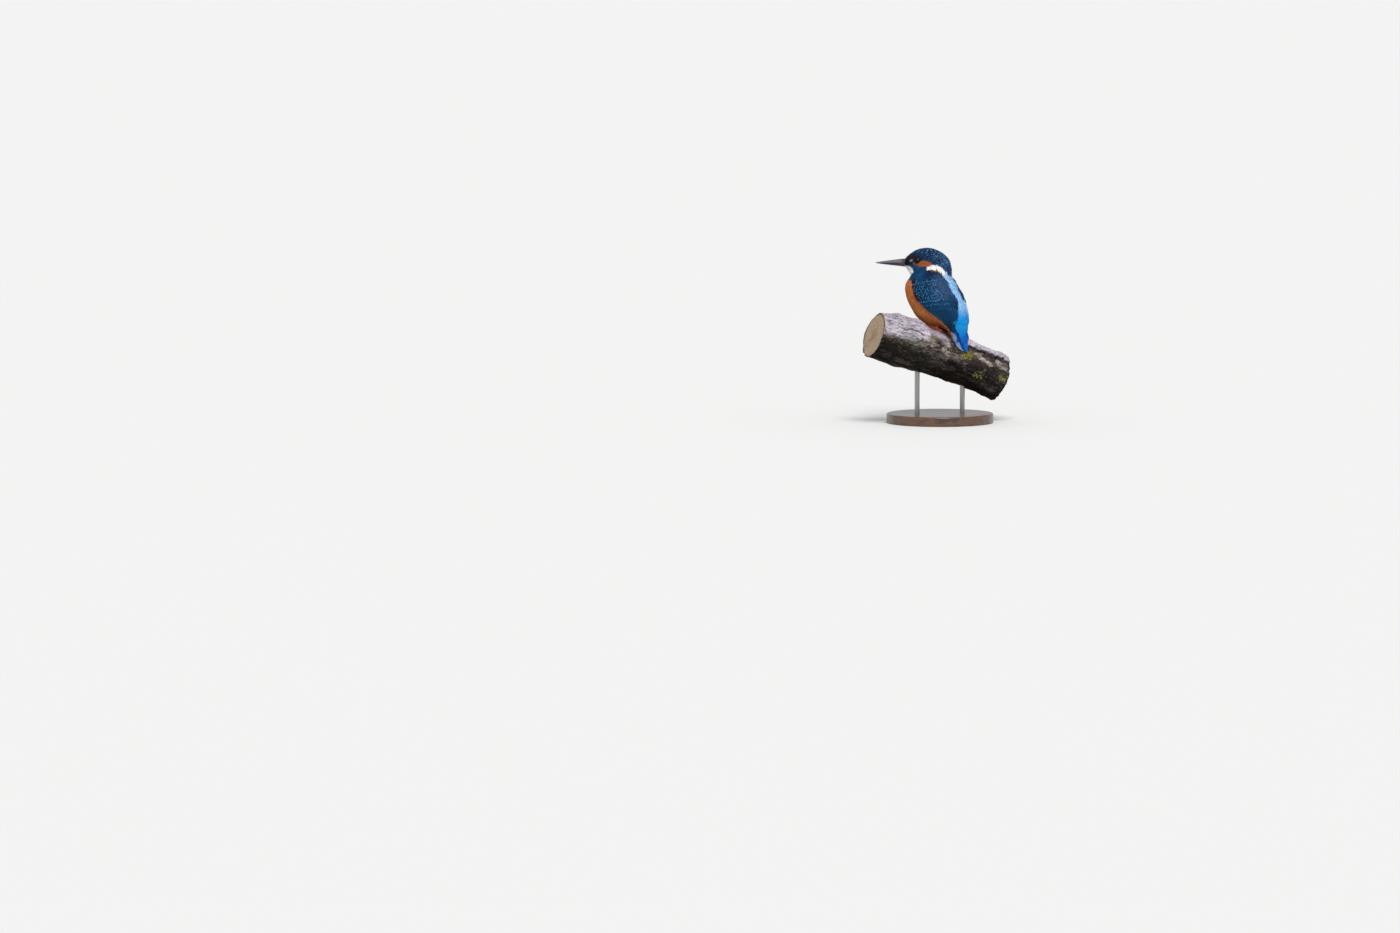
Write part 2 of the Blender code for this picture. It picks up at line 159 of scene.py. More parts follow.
def tubeMesh(name, rings):
    return outward(meshFrom(name, *closedTube(rings)))


# The camera, the floor and the light
view = {
    "azimuth": 30.0, "elevation": 5.0, "lens": 400.0, "sensor": 36.0, "fieldWidth": 1.466,
    "aimRight": -0.2461, "aimUp": -0.1220, "floorSize": 120.0, "floorColour": (0.70, 0.69, 0.67),
    "sunStrength": 2.5, "sunSoftness": 28.0, "skyStrength": 0.70, "skyColour": (0.93, 0.96, 1.0, 1.0),
    "clip": (0.5, 400.0), "sunWay": (0.15, 1.15, 1.0),  # how far right, up and back the sun stands
}

# The bird's body as rings from the bill to the tail's tip, in millimetres from a point below it:
# back x and z, belly x and z, half width, and how far down its widest place lies
body = {
    "rings": np.array([
        (-32.8, 95.4, -33.1, 87.6, 4.3, 0.50),
        (-28.8, 99.3, -30.7, 85.2, 6.9, 0.52),
        (-21.8, 104.2, -28.7, 82.2, 9.4, 0.50),
        (-13.7, 106.8, -27.3, 80.0, 11.6, 0.52),
        (-3.7, 106.5, -26.7, 78.3, 13.6, 0.55),
        (6.8, 102.1, -26.9, 76.7, 15.0, 0.56),
        (14.2, 95.0, -28.0, 75.0, 16.2, 0.55),
        (17.1, 86.0, -30.2, 72.2, 17.8, 0.53),
        (17.8, 77.0, -32.5, 67.6, 19.8, 0.52),
        (21.8, 68.6, -33.0, 60.8, 21.2, 0.51),
        (28.5, 58.2, -30.4, 51.6, 22.2, 0.50),
        (33.7, 46.4, -24.6, 42.0, 21.8, 0.49),
        (36.1, 34.6, -16.2, 33.6, 18.9, 0.47),
        (36.5, 26.0, -5.4, 28.6, 14.9, 0.45),
        (35.7, 19.0, 7.0, 26.2, 11.6, 0.43),
        (34.9, 14.0, 16.4, 20.4, 10.6, 0.24),
        (35.3, 8.0, 24.8, 12.2, 9.4, 0.30),
        (36.7, 3.2, 31.4, 5.6, 7.0, 0.38),
        (38.3, -0.2, 37.2, 0.3, 3.2, 0.50),
    ]),
    "headTurn": 20.0, "headAxisX": -5.0, "neckTwist": (5.2, 10.0),
    "tailTurn": 22.0, "tailAxisX": 30.0, "rumpTwist": (11.2, 14.0),
    "eyeCentre": (-17.2, 8.5, 94.6), "eyeAxis": (-6.0, 30.0, 3.0),
}
lastRing = len(body["rings"]) - 1.0

# The folded wing lies on the body between two rings and two angles from the back
wing = {
    "start": 7.75, "end": 12.9,
    "upper": (24.0, 22.0, 21.0, 22.0, 26.0, 44.0), "lower": (104.0, 110.0, 110.0, 98.0, 80.0, 73.0),
    "thickness": (1.8, 2.8, 2.6, 1.6), "edge": 0.7, "gap": 0.5,
    "tuck": 0.36, "tuckFrom": (0.44, 0.68),  # the right wing's upper edge slips under the rump's feathers
}


def curveThrough(rows, at):
    # A smooth curve through evenly spaced rows of numbers, read at places counted in spacings
    rows = np.asarray(rows, float)
    if rows.ndim == 1:
        return curveThrough(rows[:, None], at)[..., 0]
    last = len(rows) - 1
    place = np.clip(np.asarray(at, float), 0.0, float(last))
    low = np.minimum(place.astype(int), last - 1)
    part = (place - low)[..., None]
    before, after = np.maximum(low - 1, 0), np.minimum(low + 2, last)
    start, end = rows[low], rows[low + 1]
    slopeIn = (end - rows[before]) / (low + 1 - before)[..., None]
    slopeOut = (rows[after] - start) / (after - low)[..., None]
    return ((2 * part**3 - 3 * part**2 + 1) * start + (part**3 - 2 * part**2 + part) * slopeIn
            + (3 * part**2 - 2 * part**3) * end + (part**3 - part**2) * slopeOut)


def shareCurve(values, share):
    return curveThrough(values, np.asarray(share, float) * (len(values) - 1))


def turnedAbout(points, degrees, axisX):
    angle = np.radians(degrees)
    x, y = points[..., 0] - axisX, points[..., 1]
    return np.stack([x * np.cos(angle) - y * np.sin(angle) + axisX,
                     x * np.sin(angle) + y * np.cos(angle), points[..., 2]], axis=-1)


def headTurned(points, share=1.0):
    return turnedAbout(np.asarray(points, float), body["headTurn"] * share, body["headAxisX"])


def bodyPoint(ring, angle):
    # Angle is 0 on the back and 180 on the belly, and negative on the bird's left side
    ring, angle = np.broadcast_arrays(np.asarray(ring, float), np.asarray(angle, float))
    backX, backZ, bellyX, bellyZ, halfWidth, level = np.moveaxis(curveThrough(body["rings"], ring), -1, 0)
    turn = np.radians(np.abs(angle))
    share = np.where(turn > math.pi / 2, level - (1 - level) * np.cos(turn), level * (1 - np.cos(turn)))
    flat = np.stack([backX + share * (bellyX - backX), halfWidth * np.sin(np.radians(angle)),
                     backZ + share * (bellyZ - backZ)], axis=-1)
    neck = fadeOut(ring, *body["neckTwist"])
    rump = smoothStep(ring, *body["rumpTwist"])
    return turnedAbout(headTurned(flat, neck), -body["tailTurn"] * rump, body["tailAxisX"])


def normalOf(surface, ring, angle):
    ring, angle = np.broadcast_arrays(np.asarray(ring, float), np.asarray(angle, float))
    lengthwise = surface(ring + 0.04, angle) - surface(ring - 0.04, angle)
    around = surface(ring, angle + 1.5) - surface(ring, angle - 1.5)
    return unit(np.cross(lengthwise, around))


def wingShare(ring):
    return (ring - wing["start"]) / (wing["end"] - wing["start"])


def wingSpan(share):
    # Middle angle and half spread of the wing at a share of its length
    share = np.clip(share, 0.0, 1.0)
    upper, lower = shareCurve(wing["upper"], share), shareCurve(wing["lower"], share)
    closing = np.sqrt(np.clip(1 - (2 * share - 1) ** 8, 0.0, 1.0))
    return (upper + lower) / 2, (lower - upper) / 2 * (0.5 + 0.5 * closing), closing


def wingTuck(share, side):
    # How far the right wing's lanes are drawn together towards its lower edge
    return wing["tuck"] * smoothStep(share, *wing["tuckFrom"]) * (np.asarray(side) > 0)


def wingRise(ring, angle):
    # How far the folded wing stands over the body
    share = wingShare(ring)
    middle, spread, closing = wingSpan(share)
    across = (np.abs(angle) - middle) / spread
    thick = shareCurve(wing["thickness"], np.clip(share, 0, 1)) - wing["edge"]
    bulge = thick * np.clip(1 - across**2, 0, 1) * (0.4 + 0.6 * closing)
    fade = fadeOut(np.abs(across), 0.90, 1.10) * band(share, 0.0, 1.0, 0.035)
    return (wing["gap"] + wing["edge"] + bulge) * fade


def formPoint(ring, angle):
    # The outer form: the body with its folded wings
    ring, angle = np.broadcast_arrays(np.asarray(ring, float), np.asarray(angle, float))
    return bodyPoint(ring, angle) + normalOf(bodyPoint, ring, angle) * wingRise(ring, angle)[..., None]


def formNormal(ring, angle):
    return normalOf(formPoint, ring, angle)


# Millimetres from the bird's own point to metres in the model, tied to where the model's eye is
eyeLow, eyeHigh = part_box("eye_left")
birdPlace = np.array((eyeLow + eyeHigh) / 2) - headTurned(np.array(body["eyeCentre"]) * (1, -1, 1)) * mm
eyeRadius = (eyeHigh.z - eyeLow.z) / 2 / mm


def placed(points):
    return np.asarray(points, float) * mm + birdPlace


def makeStage():
    azimuth, elevation = math.radians(view["azimuth"]), math.radians(view["elevation"])
    back = Vector((math.sin(azimuth) * math.cos(elevation), -math.cos(azimuth) * math.cos(elevation),
                   math.sin(elevation)))
    right = Vector((math.cos(azimuth), math.sin(azimuth), 0))
    up = back.cross(right)
    distance = view["fieldWidth"] * view["lens"] / view["sensor"]
    camera = bpy.data.objects.new("camera", bpy.data.cameras.new("camera"))
    camera.data.lens, camera.data.sensor_width = view["lens"], view["sensor"]
    camera.data.clip_start, camera.data.clip_end = view["clip"]
    camera.location = Vector(birdPlace) + right * view["aimRight"] + up * view["aimUp"] + back * distance
    camera.rotation_euler = back.to_track_quat("Z", "Y").to_euler()
    bpy.context.scene.collection.objects.link(camera)
    bpy.context.scene.camera = camera

    half = view["floorSize"] / 2
    floor = bpy.data.objects.new("floor", meshFrom(
        "floor", [(-half, -half, 0), (half, -half, 0), (half, half, 0), (-half, half, 0)], [(0, 1, 2, 3)]))
    bpy.context.scene.collection.objects.link(floor)
    floor.data.materials.append(newMaterial("floorPaint", {
        "Base Color": (*view["floorColour"], 1), "Roughness": 0.9, "Specular IOR Level": 0.1})[0])

    sun = bpy.data.objects.new("sun", bpy.data.lights.new("sun", "SUN"))
    sun.data.energy, sun.data.angle = view["sunStrength"], math.radians(view["sunSoftness"])
    sunWay = sum((way * share for way, share in zip((right, up, back), view["sunWay"])), Vector())
    sun.rotation_euler = sunWay.to_track_quat("Z", "Y").to_euler()
    bpy.context.scene.collection.objects.link(sun)
    world = bpy.data.worlds.new("studio")
    bpy.context.scene.world = world
    world.use_nodes = True
    sky = world.node_tree.nodes["Background"].inputs
    sky["Color"].default_value, sky["Strength"].default_value = view["skyColour"], view["skyStrength"]
    bpy.context.scene.view_settings.view_transform = "Standard"


class Value:
    # A socket in a graph, so that shader maths reads as plain expressions
    def __init__(self, graph, socket):
        self.graph, self.socket = graph, socket

    def math(self, operation, *others):
        return self.graph.add("ShaderNodeMath", {"operation": operation},
                              dict(enumerate((self, *others))))

    def __add__(self, other):
        return self.math("ADD", other)

    def __sub__(self, other):
        return self.math("SUBTRACT", other)

    def __mul__(self, other):
        return self.math("MULTIPLY", other)

    def __rsub__(self, other):
        return self.graph.add("ShaderNodeMath", {"operation": "SUBTRACT"}, {0: other, 1: self})

    __radd__, __rmul__ = __add__, __mul__

    def step(self, low, high):
        return self.graph.add("ShaderNodeMapRange", {"interpolation_type": "SMOOTHSTEP"},
                              {"Value": self, "From Min": low, "From Max": high})


class Graph:
    # A node tree, and the shader of a material's tree
    def __init__(self, tree, shader=None):
        self.tree, self.shader = tree, shader

    def add(self, kind, settings=None, sockets=None, output=0):
        # One node: its settings first, then the values or links of its sockets
        node = self.tree.nodes.new(kind)
        for name, value in (settings or {}).items():
            setattr(node, name, value)
        for key, value in (sockets or {}).items():
            self.feed(node.inputs[key], value)
        return Value(self, node.outputs[output])

    def feed(self, target, value):
        if isinstance(value, Value):
            self.tree.links.new(value.socket, target)
        elif isinstance(value, tuple) and len(value) == 3 and target.type == "RGBA":
            target.default_value = (*value, 1)
        else:
            target.default_value = value

    def paint(self, name, value):
        self.feed(self.shader.inputs[name], value)

    def colours(self, share, first, second, blend="MIX"):
        return self.add("ShaderNodeMix", {"data_type": "RGBA", "blend_type": blend, "clamp_factor": True},
                        {0: share, 6: first, 7: second}, 2)

    def attribute(self, name, output=2):
        # Output 2 is the number, 0 the colour and 1 the vector
        return self.add("ShaderNodeAttribute", {"attribute_name": name}, None, output)

    def shaded(self, colour, factor):
        # A colour times three numbers, or times one number that changes over the surface
        if isinstance(factor, Value):
            factor = self.add("ShaderNodeCombineXYZ", None, {0: factor, 1: factor, 2: factor})
        return self.colours(1.0, colour, factor, "MULTIPLY")

    def place(self, scale=None):
        # Places in the piece's own frame, stretched where a scale is given
        place = self.add("ShaderNodeTexCoord", None, None, 3)
        if scale is None:
            return place
        return self.add("ShaderNodeMapping", None, {"Vector": place, "Scale": scale})

    def noise(self, place, scale, detail=4.0, roughness=0.55):
        return self.add("ShaderNodeTexNoise", None, {
            "Vector": place, "Scale": scale, "Detail": detail, "Roughness": roughness})

    def named(self, name, kind="FLOAT"):
        # A value stored on the geometry, for a Geometry Nodes tree
        return self.add("GeometryNodeInputNamedAttribute", {"data_type": kind}, {"Name": name})

    def moved(self, place, way, distance):
        step = self.add("ShaderNodeVectorMath", {"operation": "SCALE"}, {0: way, "Scale": distance})
        return self.add("ShaderNodeVectorMath", {"operation": "ADD"}, {0: place, 1: step})

    def bump(self, height, strength, distance):
        return self.add("ShaderNodeBump", None, {
            "Height": height, "Strength": strength, "Distance": distance})


def newMaterial(name, constants):
    # A material and its graph; constants go on the shader's own sockets
    made = bpy.data.materials.new(name)
    made.use_nodes = True
    shader = made.node_tree.nodes["Principled BSDF"]
    for socket, value in constants.items():
        shader.inputs[socket].default_value = value
    return made, Graph(made.node_tree, shader)


# Plumage colours
plumage = {
    "crown": (0.003, 0.014, 0.050), "crownBar": (0.11, 0.33, 0.56), "nape": (0.010, 0.034, 0.095),
    "lores": (0.010, 0.010, 0.012), "loresSpot": (0.50, 0.33, 0.21), "ear": (0.277, 0.0779, 0.0198),
    "white": (0.86, 0.84, 0.82), "throat": (0.93, 0.91, 0.88), "malar": (0.002, 0.038, 0.118),
    "rust": (0.085, 0.032, 0.018), "breast": (0.48, 0.138, 0.038), "belly": (0.58, 0.208, 0.062),
    "flank": (0.52, 0.178, 0.055), "wing": (0.002, 0.029, 0.084), "wingBar": (0.05, 0.29, 0.48),
    "scapular": (0.020, 0.052, 0.125), "paleBack": (0.23, 0.45, 0.72), "rump": (0.005, 0.25, 0.64),
    # The tail's pale edge colour is a painted reflection of the sky, laid on the tail's left side only
    "tailBase": (0.001, 0.115, 0.46), "tail": (0.001, 0.050, 0.24), "tailLeftSheen": (0.15, 0.23, 0.40),
    "tailRight": (0.001, 0.095, 0.42), "navy": (0.001, 0.016, 0.085), "collar": (0.055, 0.062, 0.11),
    # The undertail colour is the vent's rufous, darkened with painted shade
    # The wing line is painted shadow along the folded wing's lower edge
    "wingEdgeShadow": (0.012, 0.009, 0.014), "undertail": (0.20, 0.066, 0.024), "quill": (0.006, 0.022, 0.042),
    "quillEdge": (0.012, 0.055, 0.09), "shortQuillEdge": (0.014, 0.085, 0.15),
}

# Edges of the markings: angles from the back at places counted in rings
markings = {
    "front": ((5.4, 6.6, 7.0, 7.4, 8.0, 8.5, 9.0, 9.5, 10.0, 11.0, 12.0, 13.0, 14.0, 14.7, 15.5, 18.0),
              (196, 186, 158, 128, 117, 114, 111, 108, 103, 91, 79, 70, 70, 80, 104, 128)),
    "throat": ((0.0, 0.6, 1.2, 2.0, 3.0, 3.8, 4.6, 5.3, 6.0), (118, 122, 121, 118, 119, 123, 128, 134, 150)),
    "stripe": ((7.6, 8.0, 8.5, 9.0, 9.5, 10.0, 10.5, 11.0, 11.5, 12.0, 12.5, 13.0, 13.5, 14.0, 15.0, 16.0,
                17.5),
               (22, 30, 26, 23, 20, 17.5, 16, 18, 26, 35, 42, 44, 36, 28, 20, 16, 12)),
    "earTop": ((2.7, 3.2, 3.6, 4.1, 4.6, 5.0, 5.4, 5.75), (95, 90, 85, 79, 72, 67, 66, 71)),
    "earLow": ((2.7, 3.2, 4.0, 4.6, 5.0, 5.4, 5.75), (96, 99, 98, 95, 89, 82, 73)),
    "whiteTop": ((10, 14, 25, 35, 47, 60, 73, 80, 86), (8.1, 7.95, 7.5, 7.05, 6.5, 6.0, 5.6, 5.55, 5.95)),
    "whiteLow": ((10, 14, 25, 35, 47, 60, 73, 80, 86), (9.0, 8.8, 8.35, 7.80, 7.20, 6.80, 6.52, 6.30, 6.0)),
}


def eyePlace(side):
    # Centre of an eye and the way it looks out
    pivot = np.array((body["headAxisX"], 0, 0))
    axis = headTurned(np.array(body["eyeAxis"]) * (1, side, 1) + pivot) - headTurned(pivot)
    return headTurned(np.array(body["eyeCentre"]) * (1, side, 1)), unit(axis)


def eyeReach(ring, angle):
    # Distance of places on the form from the nearer eye's axis, and the way out from it
    side = np.where(np.asarray(angle) < 0, -1.0, 1.0)
    centre, axis = (np.where(side[..., None] < 0, left, right)
                    for left, right in zip(eyePlace(-1), eyePlace(1)))
    away = formPoint(ring, angle) - centre
    away = away - reachAlong(away, axis) * axis
    return np.linalg.norm(away, axis=-1), unit(away)


def edgeAt(name, place):
    return np.interp(place, *markings[name])


def stripeEdge(ring, angle):
    # Edge of the pale back, wider where it covers the right wing
    share = wingShare(ring)
    covered = 2 * wingTuck(share, angle) * wingSpan(share)[1] * fadeOut(ring, 12.6, 13.5)
    return edgeAt("stripe", ring) + covered


def plumageColour(ring, angle):
    # The bird's markings, alike for its skin and its feathers
    a = np.abs(angle)
    front, throat, edge = a - edgeAt("front", ring), a - edgeAt("throat", ring), edgeAt("stripe", ring)
    right = np.asarray(angle)
    colour = np.zeros((*np.shape(ring), 3)) + plumage["crown"]

    def lay(name, share):
        nonlocal colour
        colour = mixed(colour, plumage[name], share)

    lay("nape", band(ring, 5.6, 8.4, 0.6) * fadeOut(a, 40, 60))
    lay("malar", smoothStep(a, 80, 95) * band(ring, 1.6, 9.0, 0.8))
    lay("scapular", band(ring, 7.3, 10.6, 0.5) * band(a, 20, 66, 10))
    lay("wing", band(ring, 7.6, 13.6, 0.3) * smoothStep(a, 60, 78))
    lay("wing", band(ring, 10.2, 13.6, 0.5) * smoothStep(a, 20, 26))
    lay("breast", smoothStep(front, -0.5, 0.5) * smoothStep(ring, 5.6, 7.0))
    lay("belly", smoothStep(front, 0, 30) * smoothStep(ring, 8.6, 11.0))
    lay("flank", smoothStep(front, 0, 14) * smoothStep(ring, 11.0, 12.5))
    # Painted shade: the lower flank and vent darkened towards a deep rust-brown
    lay("undertail", smoothStep(front, 3, 18) * smoothStep(ring, 11.9, 13.2) * 0.85)
    # Painted shadow: a dark line along the folded wing's edge above the breast
    lay("wingEdgeShadow", band(front, -12, -0.8, 1.2) * band(ring, 7.3, 10.3, 0.3) * 0.97)
    lay("throat", smoothStep(throat, -4, 4) * fadeOut(ring, 4.4, 5.1))
    lay("collar", smoothStep(a, 138, 158) * band(ring, 5.0, 7.2, 0.3) * 0.7
        * fadeOut(front, -3, 3))
    stripe = fadeOut(a - stripeEdge(ring, angle), -2.5, 2.5)
    stripe = stripe * smoothStep(ring, 7.75 - 0.01 * a, 8.15 - 0.01 * a)
    lay("paleBack", stripe)
    lay("rump", stripe * smoothStep(ring, 10.9, 12.1))
    lay("tailBase", stripe * smoothStep(ring, 13.2, 15.2))
    lay("tail", smoothStep(ring, 13.6, 14.2) * fadeOut(front, -4, 2)
        * smoothStep(a - edge, -6, 2))
    lay("navy", band(a - edge, 1, 14, 3) * smoothStep(ring, 13.6, 14.2) * 0.8)
    lay("tailRight", smoothStep(ring, 13.4, 14.0) * fadeOut(front, -4, 2)
        * smoothStep(right - edge, -6, 2))
    # Painted reflection: the tail's left side paled where it slopes towards the sky
    lay("tailLeftSheen", smoothStep(a, 46, 54) * smoothStep(ring, 14.0, 14.6) * (right < 0)
        * fadeOut(front, -3, 3))
    lay("rust", band(ring - edgeAt("whiteLow", a), -0.1, 0.26, 0.08) * band(a, 50, 76, 5))
    patch = band(ring, edgeAt("whiteTop", a), edgeAt("whiteLow", a), 0.10) * band(a, 12, 86, 2)
    lay("white", patch)
    lay("paleBack", patch * fadeOut(a, 22, 42) * 0.85)
    ear = smoothStep(a - edgeAt("earTop", ring), -3, 2) * fadeOut(a - edgeAt("earLow", ring), -2, 3)
    lay("ear", ear * band(ring, 2.75, 5.75, 0.12))
    lay("lores", fadeOut(ring, 2.4, 3.1) * band(a, 58, 102, 5))
    lay("lores", fadeOut(ring, 0.9, 2.0) * fadeOut(a, 100, 107))
    lay("lores", fadeOut(eyeReach(ring, angle)[0], 3.7, 4.6) * (ring < 5))
    spot = np.exp(-((ring - 2.1) / 0.28) ** 2 - ((a - 85) / 4.6) ** 2)
    lay("loresSpot", np.clip(spot * 1.6, 0, 1))
    return colour


def barStrength(ring, angle):
    # How strongly each feather carries a pale bar near its tip
    a = np.abs(angle)
    front, throat = a - edgeAt("front", ring), a - edgeAt("throat", ring)
    crown = band(ring, 1.2, 6.6, 0.5) * (1 - 0.8 * smoothStep(a, 34, 60)) * fadeOut(a, 70, 82)
    cheek = band(ring, 2.6, 8.6, 0.6) * smoothStep(a, 88, 98) * fadeOut(front, -9, -3)
    cheek = cheek * (1 - smoothStep(throat, -8, -2) * (ring < 6))
    nape = band(ring, 6.4, 7.8, 0.3) * fadeOut(a, 40, 60) * 0.4
    wings = band(ring, 7.7, 11.2, 0.3) * smoothStep(a, 46, 78) * fadeOut(front, -9, -4)
    white = band(ring, edgeAt("whiteTop", a) - 0.1, edgeAt("whiteLow", a) + 0.3, 0.05) * band(a, 20, 84, 2)
    ear = band(a, edgeAt("earTop", ring) - 2, edgeAt("earLow", ring) + 2, 2) * band(ring, 2.8, 5.8, 0.1)
    return np.clip(crown + cheek * 0.3 + nape * 0.4 + wings * 0.8, 0, 1) * (1 - white) * (1 - ear)


def unwrapped(ring, angle):
    # The skin's own unwrap: round the body one way, from bill to tail the other
    return np.stack([0.03 + 0.94 * (np.asarray(angle) + 180) / 360,
                     0.03 + 0.94 * np.asarray(ring) / lastRing], axis=-1)


makeStage()
print("stage made")


def featherMaterial(name, barColour, roughness, barbs):
    # Vane colour from each feather's own tint, with its bar and its barbs, and painted shade towards its
    # root where it lies under the feathers before it
    made, graph = newMaterial(name, {"Roughness": roughness, "Specular IOR Level": 0.08})
    along, across = graph.attribute("along"), graph.attribute("across")
    side = across.math("ABSOLUTE")
    lines = ((along * barbs + side * (barbs * 0.42)) * math.pi).math("SINE")
    shaft = 1 - side.step(0.02, 0.10)
    # Painted shade: the vane darker towards its root and lighter towards its tip; the barbs' lines and the
    # pale shaft are the feather's own
    rootShadeAndBarbs = 0.80 + along.step(0.0, 0.7) * 0.22 + lines * 0.06 + shaft * 0.04
    bar = (along.step(0.70, 0.80) * (1 - along.step(0.93, 1.0)) * (1 - side.step(0.40, 0.75))
           * graph.attribute("bar"))
    graph.paint("Base Color", graph.colours(bar, graph.shaded(graph.attribute("tint", 0), rootShadeAndBarbs), barColour))
    graph.paint("Normal", graph.bump(lines, 0.35, 0.00006))
    return made


def skinMaterial():
    # Fine down between the feathers, in the same markings, darkened as painted shade between the feathers
    made, graph = newMaterial("downySkin", {"Roughness": 0.85, "Specular IOR Level": 0.05})
    fluff = graph.noise(graph.place(), 1400, 3)
    graph.paint("Base Color", graph.shaded(graph.attribute("tint", 0), 0.62 + fluff * 0.5))
    graph.paint("Normal", graph.bump(fluff, 0.5, 0.0002))
    return made


skin = {
    "rows": 150, "around": 112, "lastRing": 16.2, "headDepth": 0.75, "bodyDepth": 1.5,
    "socket": (2.2, 3.4), "socketDepth": 1.6, "tailClosing": 1.2,
    "lidOpening": 2.45, "lidPoints": 44, "lidColour": (0.016, 0.015, 0.017),
    "lidFolds": ((0.0, 0.10), (0.25, 0.26), (0.55, 0.22), (0.72, 0.06), (0.95, 0.16), (1.2, 0.02),
                 (1.5, -0.35), (0.9, -0.5), (0.3, -0.15)),  # each: how far out from the opening, how high
}


def coatDepth(ring):
    # Depth of the coat over the skin, least on the face
    return skin["headDepth"] + (skin["bodyDepth"] - skin["headDepth"]) * smoothStep(ring, 3.0, 9.0)


def eyelid(side):
    # A ring of lid skin round an eye: rolled folds, each a little further out than the last
    centre, axis = eyePlace(side)
    across = unit(np.cross(axis, (0, 0, 1.0)))
    upright = np.cross(across, axis)
    profile = []
    for reach, lift in skin["lidFolds"]:
        turn = (skin["lidOpening"] + reach) / eyeRadius
        profile.append((eyeRadius * math.sin(turn) + lift * 0.4, eyeRadius * math.cos(turn) + lift))
    rings, count = [], skin["lidPoints"]
    for k in range(count):
        turn = 2 * math.pi * k / count
        squeeze = 1 - 0.10 * abs(math.sin(turn))
        corner = 1 + 0.10 * math.exp(-((math.cos(turn) + 1) / 0.15) ** 2)
        wrinkle = 0.03 * math.sin(11 * turn)
        rings.append([centre + (across * math.cos(turn) * corner + upright * math.sin(turn) * squeeze)
                      * (r + wrinkle) + axis * h for r, h in profile])
    size = len(profile)
    faces = []
    for k in range(count):
        n = (k + 1) % count
        for i in range(size):
            j = (i + 1) % size
            faces.append((k * size + i, k * size + j, n * size + j, n * size + i))
    return np.array(rings).reshape(-1, 3), faces


def makeSkin():
    # One skin for all the flesh, inside the outer form by the coat's depth
    rings = np.linspace(0, skin["lastRing"], skin["rows"] + 1)
    angles = np.linspace(-180, 180, skin["around"], endpoint=False)
    ring, angle = np.meshgrid(rings, angles, indexing="ij")
    points = formPoint(ring, angle) - formNormal(ring, angle) * coatDepth(ring)[..., None]
    closing = smoothStep(ring, skin["lastRing"] - skin["tailClosing"], skin["lastRing"])[..., None]
    points = points + (points.mean(axis=1, keepdims=True) - points) * closing * 0.6
    for side in (-1, 1):
        centre, axis = eyePlace(side)
        reach = points - centre
        outwards = reach @ axis
        near = np.linalg.norm(reach - outwards[..., None] * axis, axis=-1)
        sink = fadeOut(near, *skin["socket"]) * (outwards > 0)
        points = points - axis * (sink * skin["socketDepth"])[..., None]
    points, faces = closedTube(points)
    tint = withEnds(plumageColour(ring, angle))
    for side in (-1, 1):
        lidPoints, lidFaces = eyelid(side)
        faces = faces + [tuple(i + len(points) for i in face) for face in lidFaces]
        points = np.concatenate([points, lidPoints])
        tint = np.concatenate([tint, np.tile(skin["lidColour"], (len(lidPoints), 1))])
    mesh = outward(meshFrom("birdSkin", placed(points), faces))
    store(mesh, "tint", tint, "FLOAT_COLOR")
    addPiece("birdSkin", mesh, skinMaterial(), "blue_plumage",
             ("head", "neck", "trunk", "undertail_coverts"))


makeSkin()
print("skin made")


# Feather shapes, in units of their own width and length
shapes = {
    "tiny": {"rows": 3, "columns": 4, "notch": 0.12, "roundness": 0.30, "camber": 0.07, "thick": 0.06},
    "sleek": {"rows": 5, "columns": 6, "notch": 0.0, "roundness": 0.42, "camber": 0.06, "thick": 0.05},
    "loose": {"rows": 3, "columns": 10, "notch": 0.13, "roundness": 0.34, "camber": 0.07, "thick": 0.05},
    "downy": {"rows": 3, "columns": 10, "notch": 0.26, "roundness": 0.30, "camber": 0.08, "thick": 0.05},
}
variants = 3
vaneCrease = 50.0  # degrees
patchSize = 0.003  # of the unwrap, for each feather


